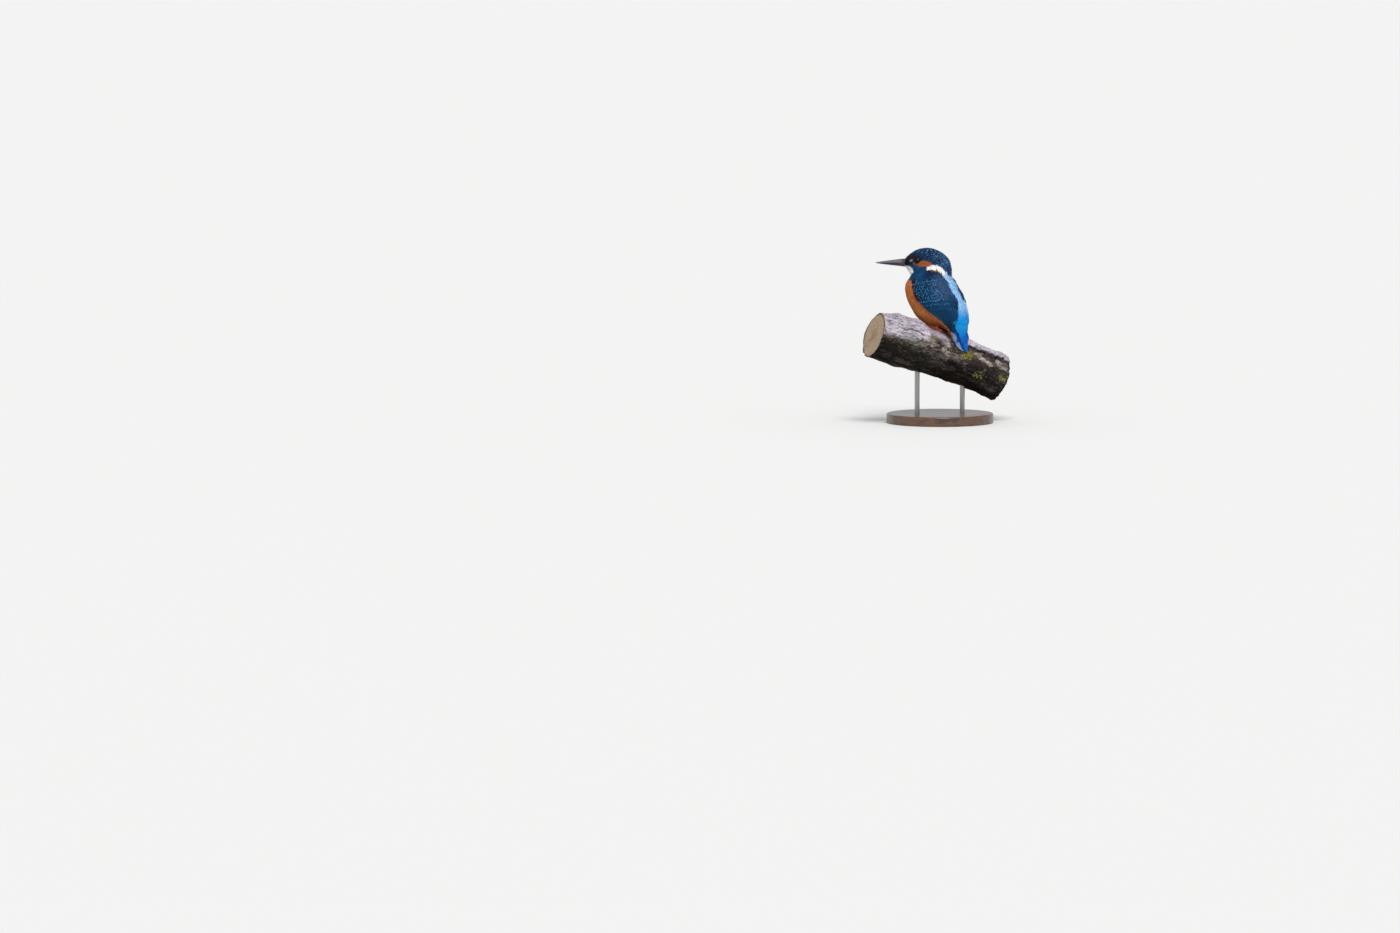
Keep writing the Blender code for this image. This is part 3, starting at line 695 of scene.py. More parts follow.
def vaneShape(name, kind, number):
    # A closed vane: root at 0, tip at 1, thin at its edges, its tip split between the barbs
    draw = np.random.default_rng(100 + number)
    rows, columns = kind["rows"], kind["columns"]
    along, across = np.meshgrid(np.linspace(0, 1, rows + 1), np.linspace(-1, 1, columns + 1), indexing="ij")
    width = np.interp(along, (0, 0.12, 0.4, 0.75, 1.0), (0.22, 0.62, 1.0, 1.0, 0.74))
    split = np.zeros(columns + 1)
    split[1::2] = kind["notch"]
    split = split + draw.uniform(0, kind["notch"] * 0.6 + 0.015, columns + 1)
    late = smoothStep(along, 0.55, 1.0)
    x = 0.5 * width * across + draw.normal(0, 0.02, columns + 1) * late
    y = along * (1 - kind["roundness"] * (1 - np.sqrt(1 - 0.98 * across**2)) * late) - split * late
    rise = -kind["camber"] * across**2 + 0.05 * np.sin(math.pi * along)
    thick = kind["thick"] * (1 - across**2) * np.sin(math.pi * np.clip(along * 0.86 + 0.07, 0, 1))
    inner = np.zeros(along.shape, bool)
    inner[1:-1, 1:-1] = True
    top = np.stack([x, y, rise + thick / 2 * inner], -1).reshape(-1, 3)
    low = np.stack([x, y, rise - thick / 2], -1).reshape(-1, 3)
    index = np.arange(top.shape[0]).reshape(along.shape)
    under = index.copy()
    under[inner] = len(top) + np.arange(inner.sum())
    points = np.concatenate([top, low[inner.ravel()]])
    faces = []
    for i in range(rows):
        for k in range(columns):
            faces.append((index[i, k], index[i, k + 1], index[i + 1, k + 1], index[i + 1, k]))
            faces.append((under[i, k], under[i + 1, k], under[i + 1, k + 1], under[i, k + 1]))
    mesh = meshFrom(name, points, faces)
    for label, values in (("along", along), ("across", across)):
        store(mesh, label, np.concatenate([values.ravel(), values[inner]]))
    store(mesh, "rise", points[:, 2])
    return bpy.data.objects.new(name, creased(mesh, vaneCrease))


vaneShapes = bpy.data.collections.new("vaneShapes")
for kindNumber, kind in enumerate(shapes.values()):
    for number in range(variants):
        vaneShapes.objects.link(vaneShape(f"vane{kindNumber}{number}", kind, kindNumber * variants + number))


def newTree(name, inputs):
    # A Geometry Nodes tree and its named inputs: each a name, a kind and, for some, a first value
    tree = bpy.data.node_groups.new(name, "GeometryNodeTree")
    for label, kind, *start in inputs:
        socket = tree.interface.new_socket(label, in_out="INPUT", socket_type="NodeSocket" + kind)
        if start:
            socket.default_value = start[0]
    tree.interface.new_socket("Grown", in_out="OUTPUT", socket_type="NodeSocketGeometry")
    graph = Graph(tree)
    entry = tree.nodes.new("NodeGroupInput")
    return graph, {s.name: Value(graph, s) for s in entry.outputs if s.name}


def endTree(graph, geometry, material):
    done = graph.add("GeometryNodeSetMaterial", None, {"Geometry": geometry, "Material": material})
    graph.feed(graph.tree.nodes.new("NodeGroupOutput").inputs[0], done)
    return graph.tree


def coatTree():
    # Sets a vane on each root, lays it on the outer form and stores its patch of the unwrap
    graph, given = newTree("featherCoat", (
        ("Roots", "Geometry"), ("Vanes", "Collection"), ("Form", "Object"), ("Feather", "Material"),
        ("Patch size", "Float", patchSize), ("Lift scale", "Float", 1.0)))
    add, named = graph.add, graph.named
    outwards, size, along = named("outwards", "FLOAT_VECTOR"), named("size", "FLOAT_VECTOR"), named("along")
    turn = add("FunctionNodeAxesToRotation", {"primary_axis": "Z", "secondary_axis": "Y"},
               {0: outwards, 1: named("lie", "FLOAT_VECTOR")})
    vanes = add("GeometryNodeCollectionInfo", None, {
        "Collection": given["Vanes"], "Separate Children": True, "Reset Children": True})
    vanesSet = add("GeometryNodeInstanceOnPoints", None, {
        "Points": given["Roots"], "Instance": vanes, "Pick Instance": True,
        "Instance Index": named("shape", "INT"), "Rotation": turn, "Scale": size})
    real = add("GeometryNodeRealizeInstances", None, {"Geometry": vanesSet})
    form = add("GeometryNodeObjectInfo", {"transform_space": "RELATIVE"}, {"Object": given["Form"]}, 4)
    place = add("GeometryNodeInputPosition")
    onForm, away = (add("GeometryNodeSampleNearestSurface", {"data_type": "FLOAT_VECTOR"}, {
        "Mesh": form, "Value": value, "Sample Position": place}) for value in (place, outwards))
    rising = 1 - (1 - along) * (1 - along)
    width = add("ShaderNodeSeparateXYZ", None, {0: size})
    height = (named("depth") + named("lift") * rising * given["Lift scale"] + named("rise") * width
              + named("curl") * along * along)
    laid = add("GeometryNodeSetPosition", None, {
        "Geometry": real, "Position": graph.moved(onForm, away, height)})
    inPatch = add("ShaderNodeCombineXYZ", None, {0: named("across") * 0.5, 1: along - 0.5})
    clean = add("GeometryNodeStoreNamedAttribute", {"data_type": "FLOAT2", "domain": "CORNER"}, {
        "Geometry": laid, "Name": "OFBake",
        "Value": graph.moved(named("rootUv", "FLOAT_VECTOR"), inPatch, given["Patch size"])})
    for name in ("outwards", "lie", "size", "depth", "lift", "curl", "rise", "rootUv", "shape"):
        clean = add("GeometryNodeRemoveAttribute", None, {"Geometry": clean, "Name": name})
    return endTree(graph, clean, given["Feather"])


featherCoat = coatTree()


def makeForm():
    # The outer form as a mesh, for the feathers to lie on
    rings = np.linspace(0, lastRing, 240)
    angles = np.linspace(-180, 180, 200, endpoint=False)
    ring, angle = np.meshgrid(rings, angles, indexing="ij")
    mesh = meshFrom("outerForm", *closedTube(placed(formPoint(ring, angle))))
    store(mesh, "outwards", withEnds(formNormal(ring, angle)), "FLOAT_VECTOR")
    return bpy.data.objects.new("outerForm", mesh)


outerForm = makeForm()


def applied(holder, tree, inputs):
    # Runs a tree on a holder of places and gives the plain mesh it makes
    bpy.context.scene.collection.objects.link(holder)
    modifier = holder.modifiers.new("grown", "NODES")
    modifier.node_group = tree
    for item in tree.interface.items_tree:
        if item.item_type == "SOCKET" and item.name in inputs:
            modifier[item.identifier] = inputs[item.name]
    graph = bpy.context.evaluated_depsgraph_get()
    graph.update()
    mesh = bpy.data.meshes.new_from_object(holder.evaluated_get(graph))
    old = holder.data
    bpy.data.objects.remove(holder, do_unlink=True)
    bpy.data.meshes.remove(old)
    return mesh


def growCoat(name, roots, material, slot, nodes=()):
    # roots: ring, angle, lie, width, length, depth, lift, curl, shape, tint and bar of each feather
    ring, angle = roots["ring"], roots["angle"]
    mesh = meshFrom(name + "Roots", placed(formPoint(ring, angle)), [])
    patch = unwrapped(ring, angle)
    for key, values in (
            ("outwards", formNormal(ring, angle)), ("lie", roots["lie"]),
            ("size", np.stack([roots["width"], roots["length"], roots["length"]], -1) * mm),
            ("rootUv", np.concatenate([patch, np.zeros((len(patch), 1))], -1))):
        store(mesh, key, values, "FLOAT_VECTOR")
    for key in ("depth", "lift", "curl"):
        store(mesh, key, roots[key] * mm)
    store(mesh, "shape", roots["shape"], "INT")
    store(mesh, "tint", roots["tint"], "FLOAT_COLOR")
    store(mesh, "bar", roots["bar"])
    grown = applied(bpy.data.objects.new(name + "Roots", mesh), featherCoat, {
        "Vanes": vaneShapes, "Form": outerForm, "Feather": material})
    grown.name = name
    addPiece(name, grown, material, slot, nodes)
    print(name, len(ring), "feathers,", sum(len(p.vertices) - 2 for p in grown.polygons), "triangles")


scatter = {"rings": 420, "angles": 361, "crowd": 14}  # tries for each root that can find room


def scatterRoots(spacingAt, seed):
    # Roots spread over the whole form, none nearer to another than the spacing at its place
    draw = np.random.default_rng(seed)
    rings = np.linspace(0.02, lastRing - 0.25, scatter["rings"])
    angles = np.linspace(-180, 180, scatter["angles"])
    ring, angle = np.meshgrid(rings, angles, indexing="ij")
    points = formPoint(ring, angle)
    lengthwise, around = points[1:, :-1] - points[:-1, :-1], points[:-1, 1:] - points[:-1, :-1]
    area = np.linalg.norm(np.cross(lengthwise, around), axis=-1)
    spacing = spacingAt(ring[:-1, :-1], angle[:-1, :-1])
    weight = np.where(spacing > 0, area / np.maximum(spacing, 0.1) ** 2, 0.0)
    total = int(weight.sum() * scatter["crowd"])
    picked = draw.choice(weight.size, total, p=weight.ravel() / weight.sum())
    i, k = np.unravel_index(picked, weight.shape)
    ringPick = rings[i] + draw.uniform(0, rings[1] - rings[0], total)
    anglePick = angles[k] + draw.uniform(0, 1, total)
    places, gaps = formPoint(ringPick, anglePick), spacingAt(ringPick, anglePick)
    cell = float(spacing.max())
    kept, cells = [], {}
    keys = np.floor(places / cell).astype(int)
    nearCells = [(a, b, c) for a in (-1, 0, 1) for b in (-1, 0, 1) for c in (-1, 0, 1)]

    def crowded(x, y, z, place, gap):
        for a, b, c in nearCells:
            for other in cells.get((x + a, y + b, z + c), ()):
                d = places[other] - place
                if d[0] * d[0] + d[1] * d[1] + d[2] * d[2] < gap * gap:
                    return True
        return False

    for n in range(total):
        if gaps[n] > 0 and not crowded(*keys[n], places[n], gaps[n]):
            cells.setdefault(tuple(keys[n]), []).append(n)
            kept.append(n)
    kept = np.array(kept)
    return ringPick[kept], anglePick[kept]


# Size of the feathers by tract: length, width, spacing, and how loose their vanes are (0 to 3)
tracts = {
    "crown": (3.3, 2.0, 1.12, 1.0), "lores": (1.9, 1.15, 0.74, 0.0), "ear": (4.2, 1.5, 0.90, 2.0),
    "malar": (3.2, 1.9, 1.15, 1.0), "throat": (3.6, 1.7, 1.05, 3.0), "patch": (5.2, 2.0, 1.12, 3.0),
    "nape": (4.6, 2.7, 1.50, 1.0), "side": (5.0, 2.9, 1.65, 1.0), "breast": (6.6, 2.3, 1.14, 3.0),
    "back": (6.6, 2.5, 1.28, 2.0), "rump": (7.6, 2.5, 1.25, 2.0), "tailCover": (8.2, 2.6, 1.35, 2.0),
    "undertail": (7.6, 2.8, 1.45, 2.0),
}


def tractSizes(ring, angle):
    a = np.abs(angle)
    sizes = np.zeros((*np.shape(ring), 4)) + tracts["crown"]

    def lay(name, share):
        nonlocal sizes
        sizes = mixed(sizes, tracts[name], share)

    front = a - edgeAt("front", ring)
    lay("malar", smoothStep(a, 80, 95) * fadeOut(ring, 6.2, 7.4))
    lay("nape", smoothStep(ring, 5.8, 7.0) * fadeOut(a, 60, 75))
    lay("side", smoothStep(ring, 6.0, 7.6) * smoothStep(a, 62, 75))
    lay("breast", smoothStep(front, -4, 4) * smoothStep(ring, 5.6, 7.0))
    lay("throat", smoothStep(a - edgeAt("throat", ring), -4, 4) * fadeOut(ring, 5.0, 6.6))
    lay("ear", band(a, edgeAt("earTop", ring), edgeAt("earLow", ring), 3) * band(ring, 2.9, 5.8, 0.2))
    white = band(ring, edgeAt("whiteTop", a) - 0.15, edgeAt("whiteLow", a), 0.12)
    lay("patch", white * band(a, 14, 84, 2))
    stripe = fadeOut(a - stripeEdge(ring, angle), -2, 4) * smoothStep(ring, 7.5, 8.1)
    lay("back", stripe)
    lay("rump", stripe * smoothStep(ring, 10.6, 11.8))
    lay("tailCover", smoothStep(ring, 12.6, 13.6) * fadeOut(front, -4, 2))
    lay("undertail", smoothStep(ring, 12.6, 13.6) * smoothStep(front, -4, 2))
    lay("lores", fadeOut(ring, 1.7, 3.2))
    return sizes


# The small feathers round the eye, between two distances from its axis
eyeRing = {"bare": 3.0, "from": 3.5, "near": 6.5, "length": 1.35, "width": 0.95, "spacing": 0.60,
           "parting": 2.7, "shallow": 0.55}


def wingAcross(ring, angle):
    # Share of the wing's length and lane across it, from -1 at its upper edge to 1 at its lower
    share = wingShare(ring)
    middle, spread, closing = wingSpan(share)
    return share, (np.abs(angle) - middle) / spread


def onWing(ring, angle, margin):
    share, across = wingAcross(ring, angle)
    clear = across < -1 + 2 * wingTuck(share, angle)
    return (share > margin) & (share < 1 - margin) & (np.abs(across) < 1 - margin) & ~clear


def nearEye(ring, reach):
    return fadeOut(reach, eyeRing["from"], eyeRing["near"]) * (ring < 5)


def spacingAt(ring, angle):
    spacing = tractSizes(ring, angle)[..., 2]
    reach, away = eyeReach(ring, angle)
    spacing = spacing + (eyeRing["spacing"] - spacing) * nearEye(ring, reach)
    bare = (reach < eyeRing["bare"]) & (ring < 5)
    tail = ring > np.interp(np.abs(angle), (60, 84), (14.6, 15.0))
    return np.where(bare | onWing(ring, angle, 0.03) | tail, 0.0, spacing)


def pickShapes(loose, draw):
    # The vane shape of each feather: tiny on the face, then sleek, loose and downy
    level = np.clip(np.round(loose + draw.uniform(-0.45, 0.45, len(loose))), 0, 3).astype(int)
    return level * variants + draw.integers(0, variants, len(loose))


ringStep = 0.05


def lengthwise(ring, angle):
    return formPoint(ring + ringStep, angle) - formPoint(ring - ringStep, angle)


def tipPlace(ring, angle, lie, reach):
    # Ring and angle of the place that a feather's outer part covers
    ringWay = lengthwise(ring, angle) / (2 * ringStep)
    angleWay = (formPoint(ring, angle + 1) - formPoint(ring, angle - 1)) / 2
    r2, a2 = np.sum(ringWay**2, -1), np.sum(angleWay**2, -1)
    both = np.sum(ringWay * angleWay, -1)
    onRing, onAngle = np.sum(lie * ringWay, -1), np.sum(lie * angleWay, -1)
    whole = np.maximum(r2 * a2 - both**2, 1e-9)
    ringReach = (onRing * a2 - onAngle * both) / whole * reach
    angleReach = (onAngle * r2 - onRing * both) / whole * reach
    return np.clip(ring + np.clip(ringReach, -1, 3), 0, lastRing), angle + np.clip(angleReach, -25, 25)


coat = {
    "lengths": (0.86, 1.14), "widths": (0.88, 1.12), "lifts": (0.88, 1.05), "curls": (-0.1, 0.15),
    "tones": (0.86, 1.14), "astray": 0.10, "puff": 0.2, "fluff": 3.0, "fluffLength": 0.3,
    "barShare": 0.5, "bars": (0.6, 1.0), "plainBar": 0.03, "shownPart": 0.72,
}


def bodyRoots(seed):
    # Everything that lies over the body itself, outside the folded wings
    draw = np.random.default_rng(seed)
    ring, angle = scatterRoots(spacingAt, seed)
    sizes = tractSizes(ring, angle)
    count = len(ring)
    reach, away = eyeReach(ring, angle)
    near = nearEye(ring, reach)
    lie = unit(lengthwise(ring, angle))
    pull = (eyeRing["parting"] / np.maximum(reach, eyeRing["parting"])) ** 2 * (ring < 5.5)
    lie = unit(lie - pull[:, None] * (2 * reachAlong(lie, away) * away - lie))
    normal = formNormal(ring, angle)
    lie = unit(lie - reachAlong(lie, normal) * normal)
    lie = unit(lie + np.cross(normal, lie) * draw.normal(0, coat["astray"], (count, 1)))
    length = sizes[:, 0] + (eyeRing["length"] - sizes[:, 0]) * near
    width = sizes[:, 1] + (eyeRing["width"] - sizes[:, 1]) * near
    length = length * draw.uniform(*coat["lengths"], count)
    width = width * draw.uniform(*coat["widths"], count)
    depth = coatDepth(ring) * (1 - eyeRing["shallow"] * near)
    fluff = band(ring, 11.2, 14.6, 0.9) * smoothStep(np.abs(angle), 96, 122)
    length = length * (1 + coat["fluffLength"] * fluff)
    puff = smoothStep(np.abs(angle) - edgeAt("front", ring), 0, 20) * smoothStep(ring, 6.5, 8.5)
    lift = depth * draw.uniform(*coat["lifts"], count)
    lift = lift + coat["puff"] * puff * draw.uniform(0, 1, count) + coat["fluff"] * fluff
    shownRing, shownAngle = tipPlace(ring, angle, lie, length * coat["shownPart"])
    tint = plumageColour(shownRing, shownAngle)
    tint = tint * draw.uniform(*coat["tones"], (count, 1)) * (1 + draw.normal(0, 0.02, (count, 3)))
    barred = draw.random(count) < coat["barShare"]
    bar = barStrength(shownRing, shownAngle) * np.where(
        barred, draw.uniform(*coat["bars"], count), coat["plainBar"])
    return {"ring": ring, "angle": angle, "lie": lie, "length": length, "width": width,
            "depth": -depth, "lift": lift, "curl": draw.uniform(*coat["curls"], count),
            "shape": pickShapes(sizes[:, 3] * (1 - near), draw), "tint": np.clip(tint, 0, 1), "bar": bar}


coverts = {
    "lesserEnd": 0.43, "lesserSpacing": 1.45, "lesserLength": 3.7, "lesserWidth": 2.5, "barShare": 0.58,
    "rows": (  # share of the wing's length, first and last lane, number, length, width, bar
        (0.40, -0.55, 0.86, 13, 7.4, 4.0, 0.6), (0.465, -0.50, 0.82, 12, 8.0, 4.2, 0.3),
        (0.53, -0.46, 0.80, 12, 10.0, 4.6, 0.1)),
    "scapulars": 46, "scapularLength": 7.8, "scapularWidth": 4.2, "depth": 0.9,
}


def tucked(share, across, side):
    return across + (1 - across) * wingTuck(share, side)


def wingPlace(share, across, side):
    middle, spread, closing = wingSpan(share)
    ring = wing["start"] + share * (wing["end"] - wing["start"])
    return ring, side * (middle + spread * tucked(share, across, side))


def wingFeathers(side, seed):
    # Coverts in their rows, the small ones scattered, and the scapulars over the wing's top edge
    draw = np.random.default_rng(seed)
    parts = []

    def lay(share, across, length, width, lift, bar):
        count = len(share)
        ring, angle = wingPlace(share, across, side)
        ahead = formPoint(*wingPlace(share + 0.012, across, side))
        behind = formPoint(*wingPlace(share - 0.012, across, side))
        lie = unit(ahead - behind)
        lie = unit(lie + np.cross(formNormal(ring, angle), lie) * draw.normal(0, 0.05, (count, 1)))
        tipRing, tipAngle = wingPlace(share + length * 0.011, across, side)
        inner = edgeAt("front", tipRing) - 3  # keeps the breast's colour off the wing
        tint = plumageColour(tipRing, np.clip(tipAngle, -inner, inner))
        tint = tint * draw.uniform(0.85, 1.15, (count, 1))
        parts.append({
            "ring": ring, "angle": angle, "lie": lie, "length": length * draw.uniform(0.92, 1.08, count),
            "width": width * draw.uniform(0.93, 1.07, count), "depth": np.full(count, -coverts["depth"]),
            "lift": lift * draw.uniform(0.85, 1.15, count),
            "curl": draw.uniform(-0.15, 0.0, count), "shape": pickShapes(np.ones(count), draw),
            "tint": np.clip(tint, 0, 1), "bar": bar * draw.uniform(0.5, 1.0, count)})

    def lesserSpacing(ring, angle):
        share = wingShare(ring)
        inside = onWing(ring, angle, 0.0) & (share > 0.01) & (share < coverts["lesserEnd"])
        return np.where(inside & (np.sign(angle) == side), coverts["lesserSpacing"], 0.0)

    ring, angle = scatterRoots(lesserSpacing, seed)
    share, across = wingAcross(ring, angle)
    bars = np.where(draw.random(len(ring)) < coverts["barShare"], 0.95, 0.06)
    bars = bars * smoothStep(across, -0.75, -0.2) * fadeOut(np.abs(angle) - edgeAt("front", ring), -8, -3)
    lay(share, across, coverts["lesserLength"] * (0.8 + 0.5 * share), coverts["lesserWidth"], 1.0, bars)
    for number, (start, low, high, count, length, width, bar) in enumerate(coverts["rows"]):
        lanes = np.linspace(low, high, count) + draw.normal(0, 0.012, count)
        lay(start + draw.normal(0, 0.004, count), lanes, length, width, 1.05 + 0.1 * number,
            np.full(count, bar))
    share = np.sort(draw.uniform(0.05, 0.52, coverts["scapulars"]))
    across = draw.uniform(-1.0, -0.30, coverts["scapulars"]) - 0.05
    lay(share, across, coverts["scapularLength"], coverts["scapularWidth"], 1.5, np.zeros(len(share)))
    return {key: np.concatenate([part[key] for part in parts]) for key in parts[0]}


started = bodyRoots(7)
sleekVane = featherMaterial("sleekFeather", plumage["crownBar"], 0.5, 22.0)
softVane = featherMaterial("softFeather", plumage["crownBar"], 0.7, 14.0)
wingVane = featherMaterial("wingFeather", plumage["wingBar"], 0.45, 26.0)
front = np.abs(started["angle"]) - edgeAt("front", started["ring"])
throat = np.abs(started["angle"]) - edgeAt("throat", started["ring"])
under = np.where(started["ring"] < 6.0, throat > 0, front > -2)
isHead, isBreast, isBody = (started["ring"] < end for end in (6.6, 9.6, 13.0))
for name, mask, vane, slot in (
        ("headFeathers", isHead & ~under, sleekVane, "blue_plumage"),
        ("throatFeathers", isHead & under, softVane, "chestnut_plumage"),
        ("breastFeathers", ~isHead & isBreast & under, softVane, "chestnut_plumage"),
        ("bellyFeathers", ~isBreast & isBody & under, softVane, "chestnut_plumage"),
        ("backFeathers", ~isHead & isBody & ~under, sleekVane, "azure_plumage"),
        ("rumpFeathers", ~isBody & ~under, sleekVane, "azure_plumage"),
        ("ventFeathers", ~isBody & under, softVane, "chestnut_plumage")):
    growCoat(name, {key: values[mask] for key, values in started.items()}, vane, slot)
for side, name in ((-1, "left"), (1, "right")):
    growCoat(f"{name}WingFeathers", wingFeathers(side, 20 + side), wingVane, "wing_plumage",
             (f"wing_{name}",))
print("coat grown")


def wingTop(share, across):
    # Height of the folded wing's upper face over the body, carried on past its end
    inside = np.clip(share, 0, 1)
    thick = shareCurve(wing["thickness"], inside) - wing["edge"]
    bulge = thick * np.clip(1 - np.asarray(across, float) ** 2, 0, 1)
    fall = 1 - smoothStep(share, 0.90, 1.12) * 0.5
    return (wing["gap"] + wing["edge"] + bulge) * fall


quill = {
    "rows": 22, "lobes": (-1.0, -0.72, -0.4, -0.12, 0.0, 0.12, 0.4, 0.72, 1.0), "thickness": 0.34,
    "shaft": 0.10, "camber": 0.10, "tipFrom": 0.85, "tipRows": 6,
    "widths": ((0.0, 0.35), (0.12, 0.75), (0.4, 1.0), (0.8, 0.95), (0.93, 0.72), (0.98, 0.42), (1.0, 0.16)),
}


def bladePoints(centre, sideways, normal, halfWidths):
    # Upper and lower points of one closed blade with a raised shaft, thin at its edges
    top, low = [], []
    for i, spread in enumerate(halfWidths):
        thickness = quill["thickness"] if 0 < i < len(centre) - 1 else 0.0
        for across in quill["lobes"]:
            shaft = math.exp(-(across / quill["shaft"]) ** 2)
            vane = 0.5 * (1 - across**2)
            place = centre[i] + sideways[i] * (across * spread) - normal[i] * (
                quill["camber"] * spread * across * across)
            top.append(place + normal[i] * (thickness * (vane + 0.45 * shaft)))
            low.append(place - normal[i] * (thickness * (vane + 0.3 * shaft) + 0.02))
    return [np.array(top), np.array(low)]


def quillFaces(rows, columns, start):
    faces = []
    half = rows * columns
    for i in range(rows - 1):
        for k in range(columns - 1):
            a = start + i * columns + k
            faces.append((a, a + 1, a + columns + 1, a + columns))
            b = a + half
            faces.append((b, b + columns, b + columns + 1, b + 1))
    for i in range(rows - 1):
        a, b = start + i * columns, start + half + i * columns
        faces.append((a, a + columns, b + columns, b))
        a, b = a + columns - 1, b + columns - 1
        faces.append((a, b, b + columns, a + columns))
    for k in range(columns - 1):
        a, b = start + k, start + half + k
        faces.append((a, b, b + 1, a + 1))
        a, b = a + (rows - 1) * columns, b + (rows - 1) * columns
        faces.append((a, a + 1, b + 1, b))
    return faces


def makeQuills(name, feathers, material, slot, nodes):
    # feathers: each a path function of a share, its half width, its tint and edge tint, its root's patch
    rows, lobes = quill["rows"], quill["lobes"]
    columns = len(lobes)
    shares = np.concatenate([
        np.linspace(0, quill["tipFrom"], rows - quill["tipRows"], endpoint=False),
        np.linspace(quill["tipFrom"], 1.0, quill["tipRows"])])
    along, across = np.repeat(shares, columns), np.tile(lobes, rows)
    inPatch = patchSize * np.stack([across * 0.5, along - 0.5], -1)
    atEdge = smoothStep(np.abs(across), 0.55, 0.9) * smoothStep(along, 0.0, 0.3)
    points, faces, tints, patches = [], [], [], []
    for number, (path, halfWidth, tint, edge, patch) in enumerate(feathers):
        centre, normal = path(shares)
        sideways = unit(np.cross(unit(np.gradient(centre, axis=0)), normal))
        widths = halfWidth * np.interp(shares, *zip(*quill["widths"]))
        points += bladePoints(centre, sideways, normal, widths)
        faces += quillFaces(rows, columns, number * 2 * rows * columns)
        tints += [mixed(np.tile(tint, (rows * columns, 1)), edge, atEdge)] * 2
        patches += [np.asarray(patch) + inPatch] * 2
    mesh = creased(outward(meshFrom(name, placed(np.concatenate(points)), faces)), vaneCrease)
    store(mesh, "along", np.tile(along, 2 * len(feathers)))
    store(mesh, "across", np.tile(across, 2 * len(feathers)))
    store(mesh, "tint", np.concatenate(tints), "FLOAT_COLOR")
    store(mesh, "bar", np.zeros(2 * rows * columns * len(feathers)))
    storeUv(mesh, "OFBake", np.concatenate(patches))
    print(name, len(feathers), "quills")
    addPiece(name, mesh, material, slot, nodes)


flight = {
    "primaries": 7, "primaryHalf": 2.3, "primaryRoot": 0.60, "primaryReach": (1.19, 1.02),
    "secondaries": 10, "secondaryHalf": 2.5, "secondaryRoot": 0.50, "lastRing": 14.1, "sunk": 0.15,
}


def wingQuills(side):
    feathers = []

    def path(startAt, endAt, fromLane, toLane, height):
        def run(shares):
            share = startAt + (endAt - startAt) * shares
            lane = fromLane + (toLane - fromLane) * shares
            ring, angle = wingPlace(share, lane, side)
            ring = np.minimum(ring, flight["lastRing"])
            normal = normalOf(bodyPoint, ring, angle)
            rise = wingTop(share, tucked(share, lane, side)) * smoothStep(share, 0.3, 0.5) + height
            return bodyPoint(ring, angle) + normal * (rise - flight["sunk"])[:, None], normal
        return run

    longest, shortest = flight["primaryReach"]
    for part in np.arange(flight["primaries"]) / (flight["primaries"] - 1):
        patch = unwrapped(*wingPlace(flight["primaryRoot"], 0.2 + 0.5 * part, side))
        feathers.append((
            path(flight["primaryRoot"], longest + (shortest - longest) * part, 0.05 + 0.62 * part,
                 -0.55 + 1.15 * part, -0.55 - 0.10 * part),
            flight["primaryHalf"], plumage["quill"], plumage["quillEdge"], patch))
    for part in np.arange(flight["secondaries"]) / (flight["secondaries"] - 1):
        lane = 0.86 - 1.5 * part
        tip = 0.86 + 0.09 * math.sin(math.pi * min(part * 1.3, 1.0))
        patch = unwrapped(*wingPlace(0.55, lane, side))
        tint = np.array(plumage["wing"]) * (0.8 + 0.3 * dice.random())
        feathers.append((path(flight["secondaryRoot"], tip, lane, lane * 0.92 - 0.06, -0.10 + 0.05 * part),
                         flight["secondaryHalf"], tint, plumage["shortQuillEdge"], patch))
    name = "left" if side < 0 else "right"
    makeQuills(f"{name}FlightFeathers", feathers, wingVane, "wing_plumage", (f"primaries_{name}",))


for side in (-1, 1):
    wingQuills(side)


fan = {
    "count": 12, "half": 2.7, "rootRing": 13.3, "rootSpread": 8.6, "leftSpread": 7.3, "rightSpread": 0.7,
    # pale: how far the left tail feathers take the painted reflection
    "sway": 2.8, "tipRing": 17.95, "shorter": 1.15, "pale": 0.75,
}


def tailFeathers():
    feathers = []

    def path(lane, tipRing, height):
        def run(shares):
            ring = fan["rootRing"] + (tipRing - fan["rootRing"]) * shares
            half = curveThrough(body["rings"][:, 4], ring)
            tipSpread = fan["leftSpread"] if lane < 0 else fan["rightSpread"]
            sideOff = lane * (fan["rootSpread"] + (tipSpread - fan["rootSpread"]) * shares**2.2)
            sideOff = sideOff + fan["sway"] * smoothStep(shares, 0.3, 1.0)
            flat = np.clip(sideOff / np.maximum(half, 0.1), -0.98, 0.98)
            angle = np.degrees(np.arcsin(flat)) * 0.92
            normal = normalOf(bodyPoint, ring, angle * 0.5)
            return bodyPoint(ring, angle) + normal * (height - 0.35 * (1 - shares))[:, None], normal
        return run

    half = (fan["count"] - 1) / 2
    for k in range(fan["count"]):
        lane = (k - half) / half
        tipRing = fan["tipRing"] - fan["shorter"] * abs(lane) ** 1.8
        # Painted reflection: the left feathers' edges and vanes paled as the sky shows on the tail's left
        # slope
        edge = plumage["tailLeftSheen"] if lane < -0.4 else plumage["navy" if lane < 0.0 else "tailRight"]
        tint = mixed(np.array(plumage["tail" if lane < 0.0 else "tailRight"]), plumage["tailLeftSheen"],
                     smoothStep(-lane, 0.3, 0.45) * fan["pale"])
        height = -0.15 - 1.35 * abs(lane) + 0.12 * (lane > 0)
        feathers.append((path(lane, tipRing, height), fan["half"], tint, edge, unwrapped(16.0, 60 * lane)))
    makeQuills("tailFeathers", feathers, tailVane, "blue_plumage", ("tail",))


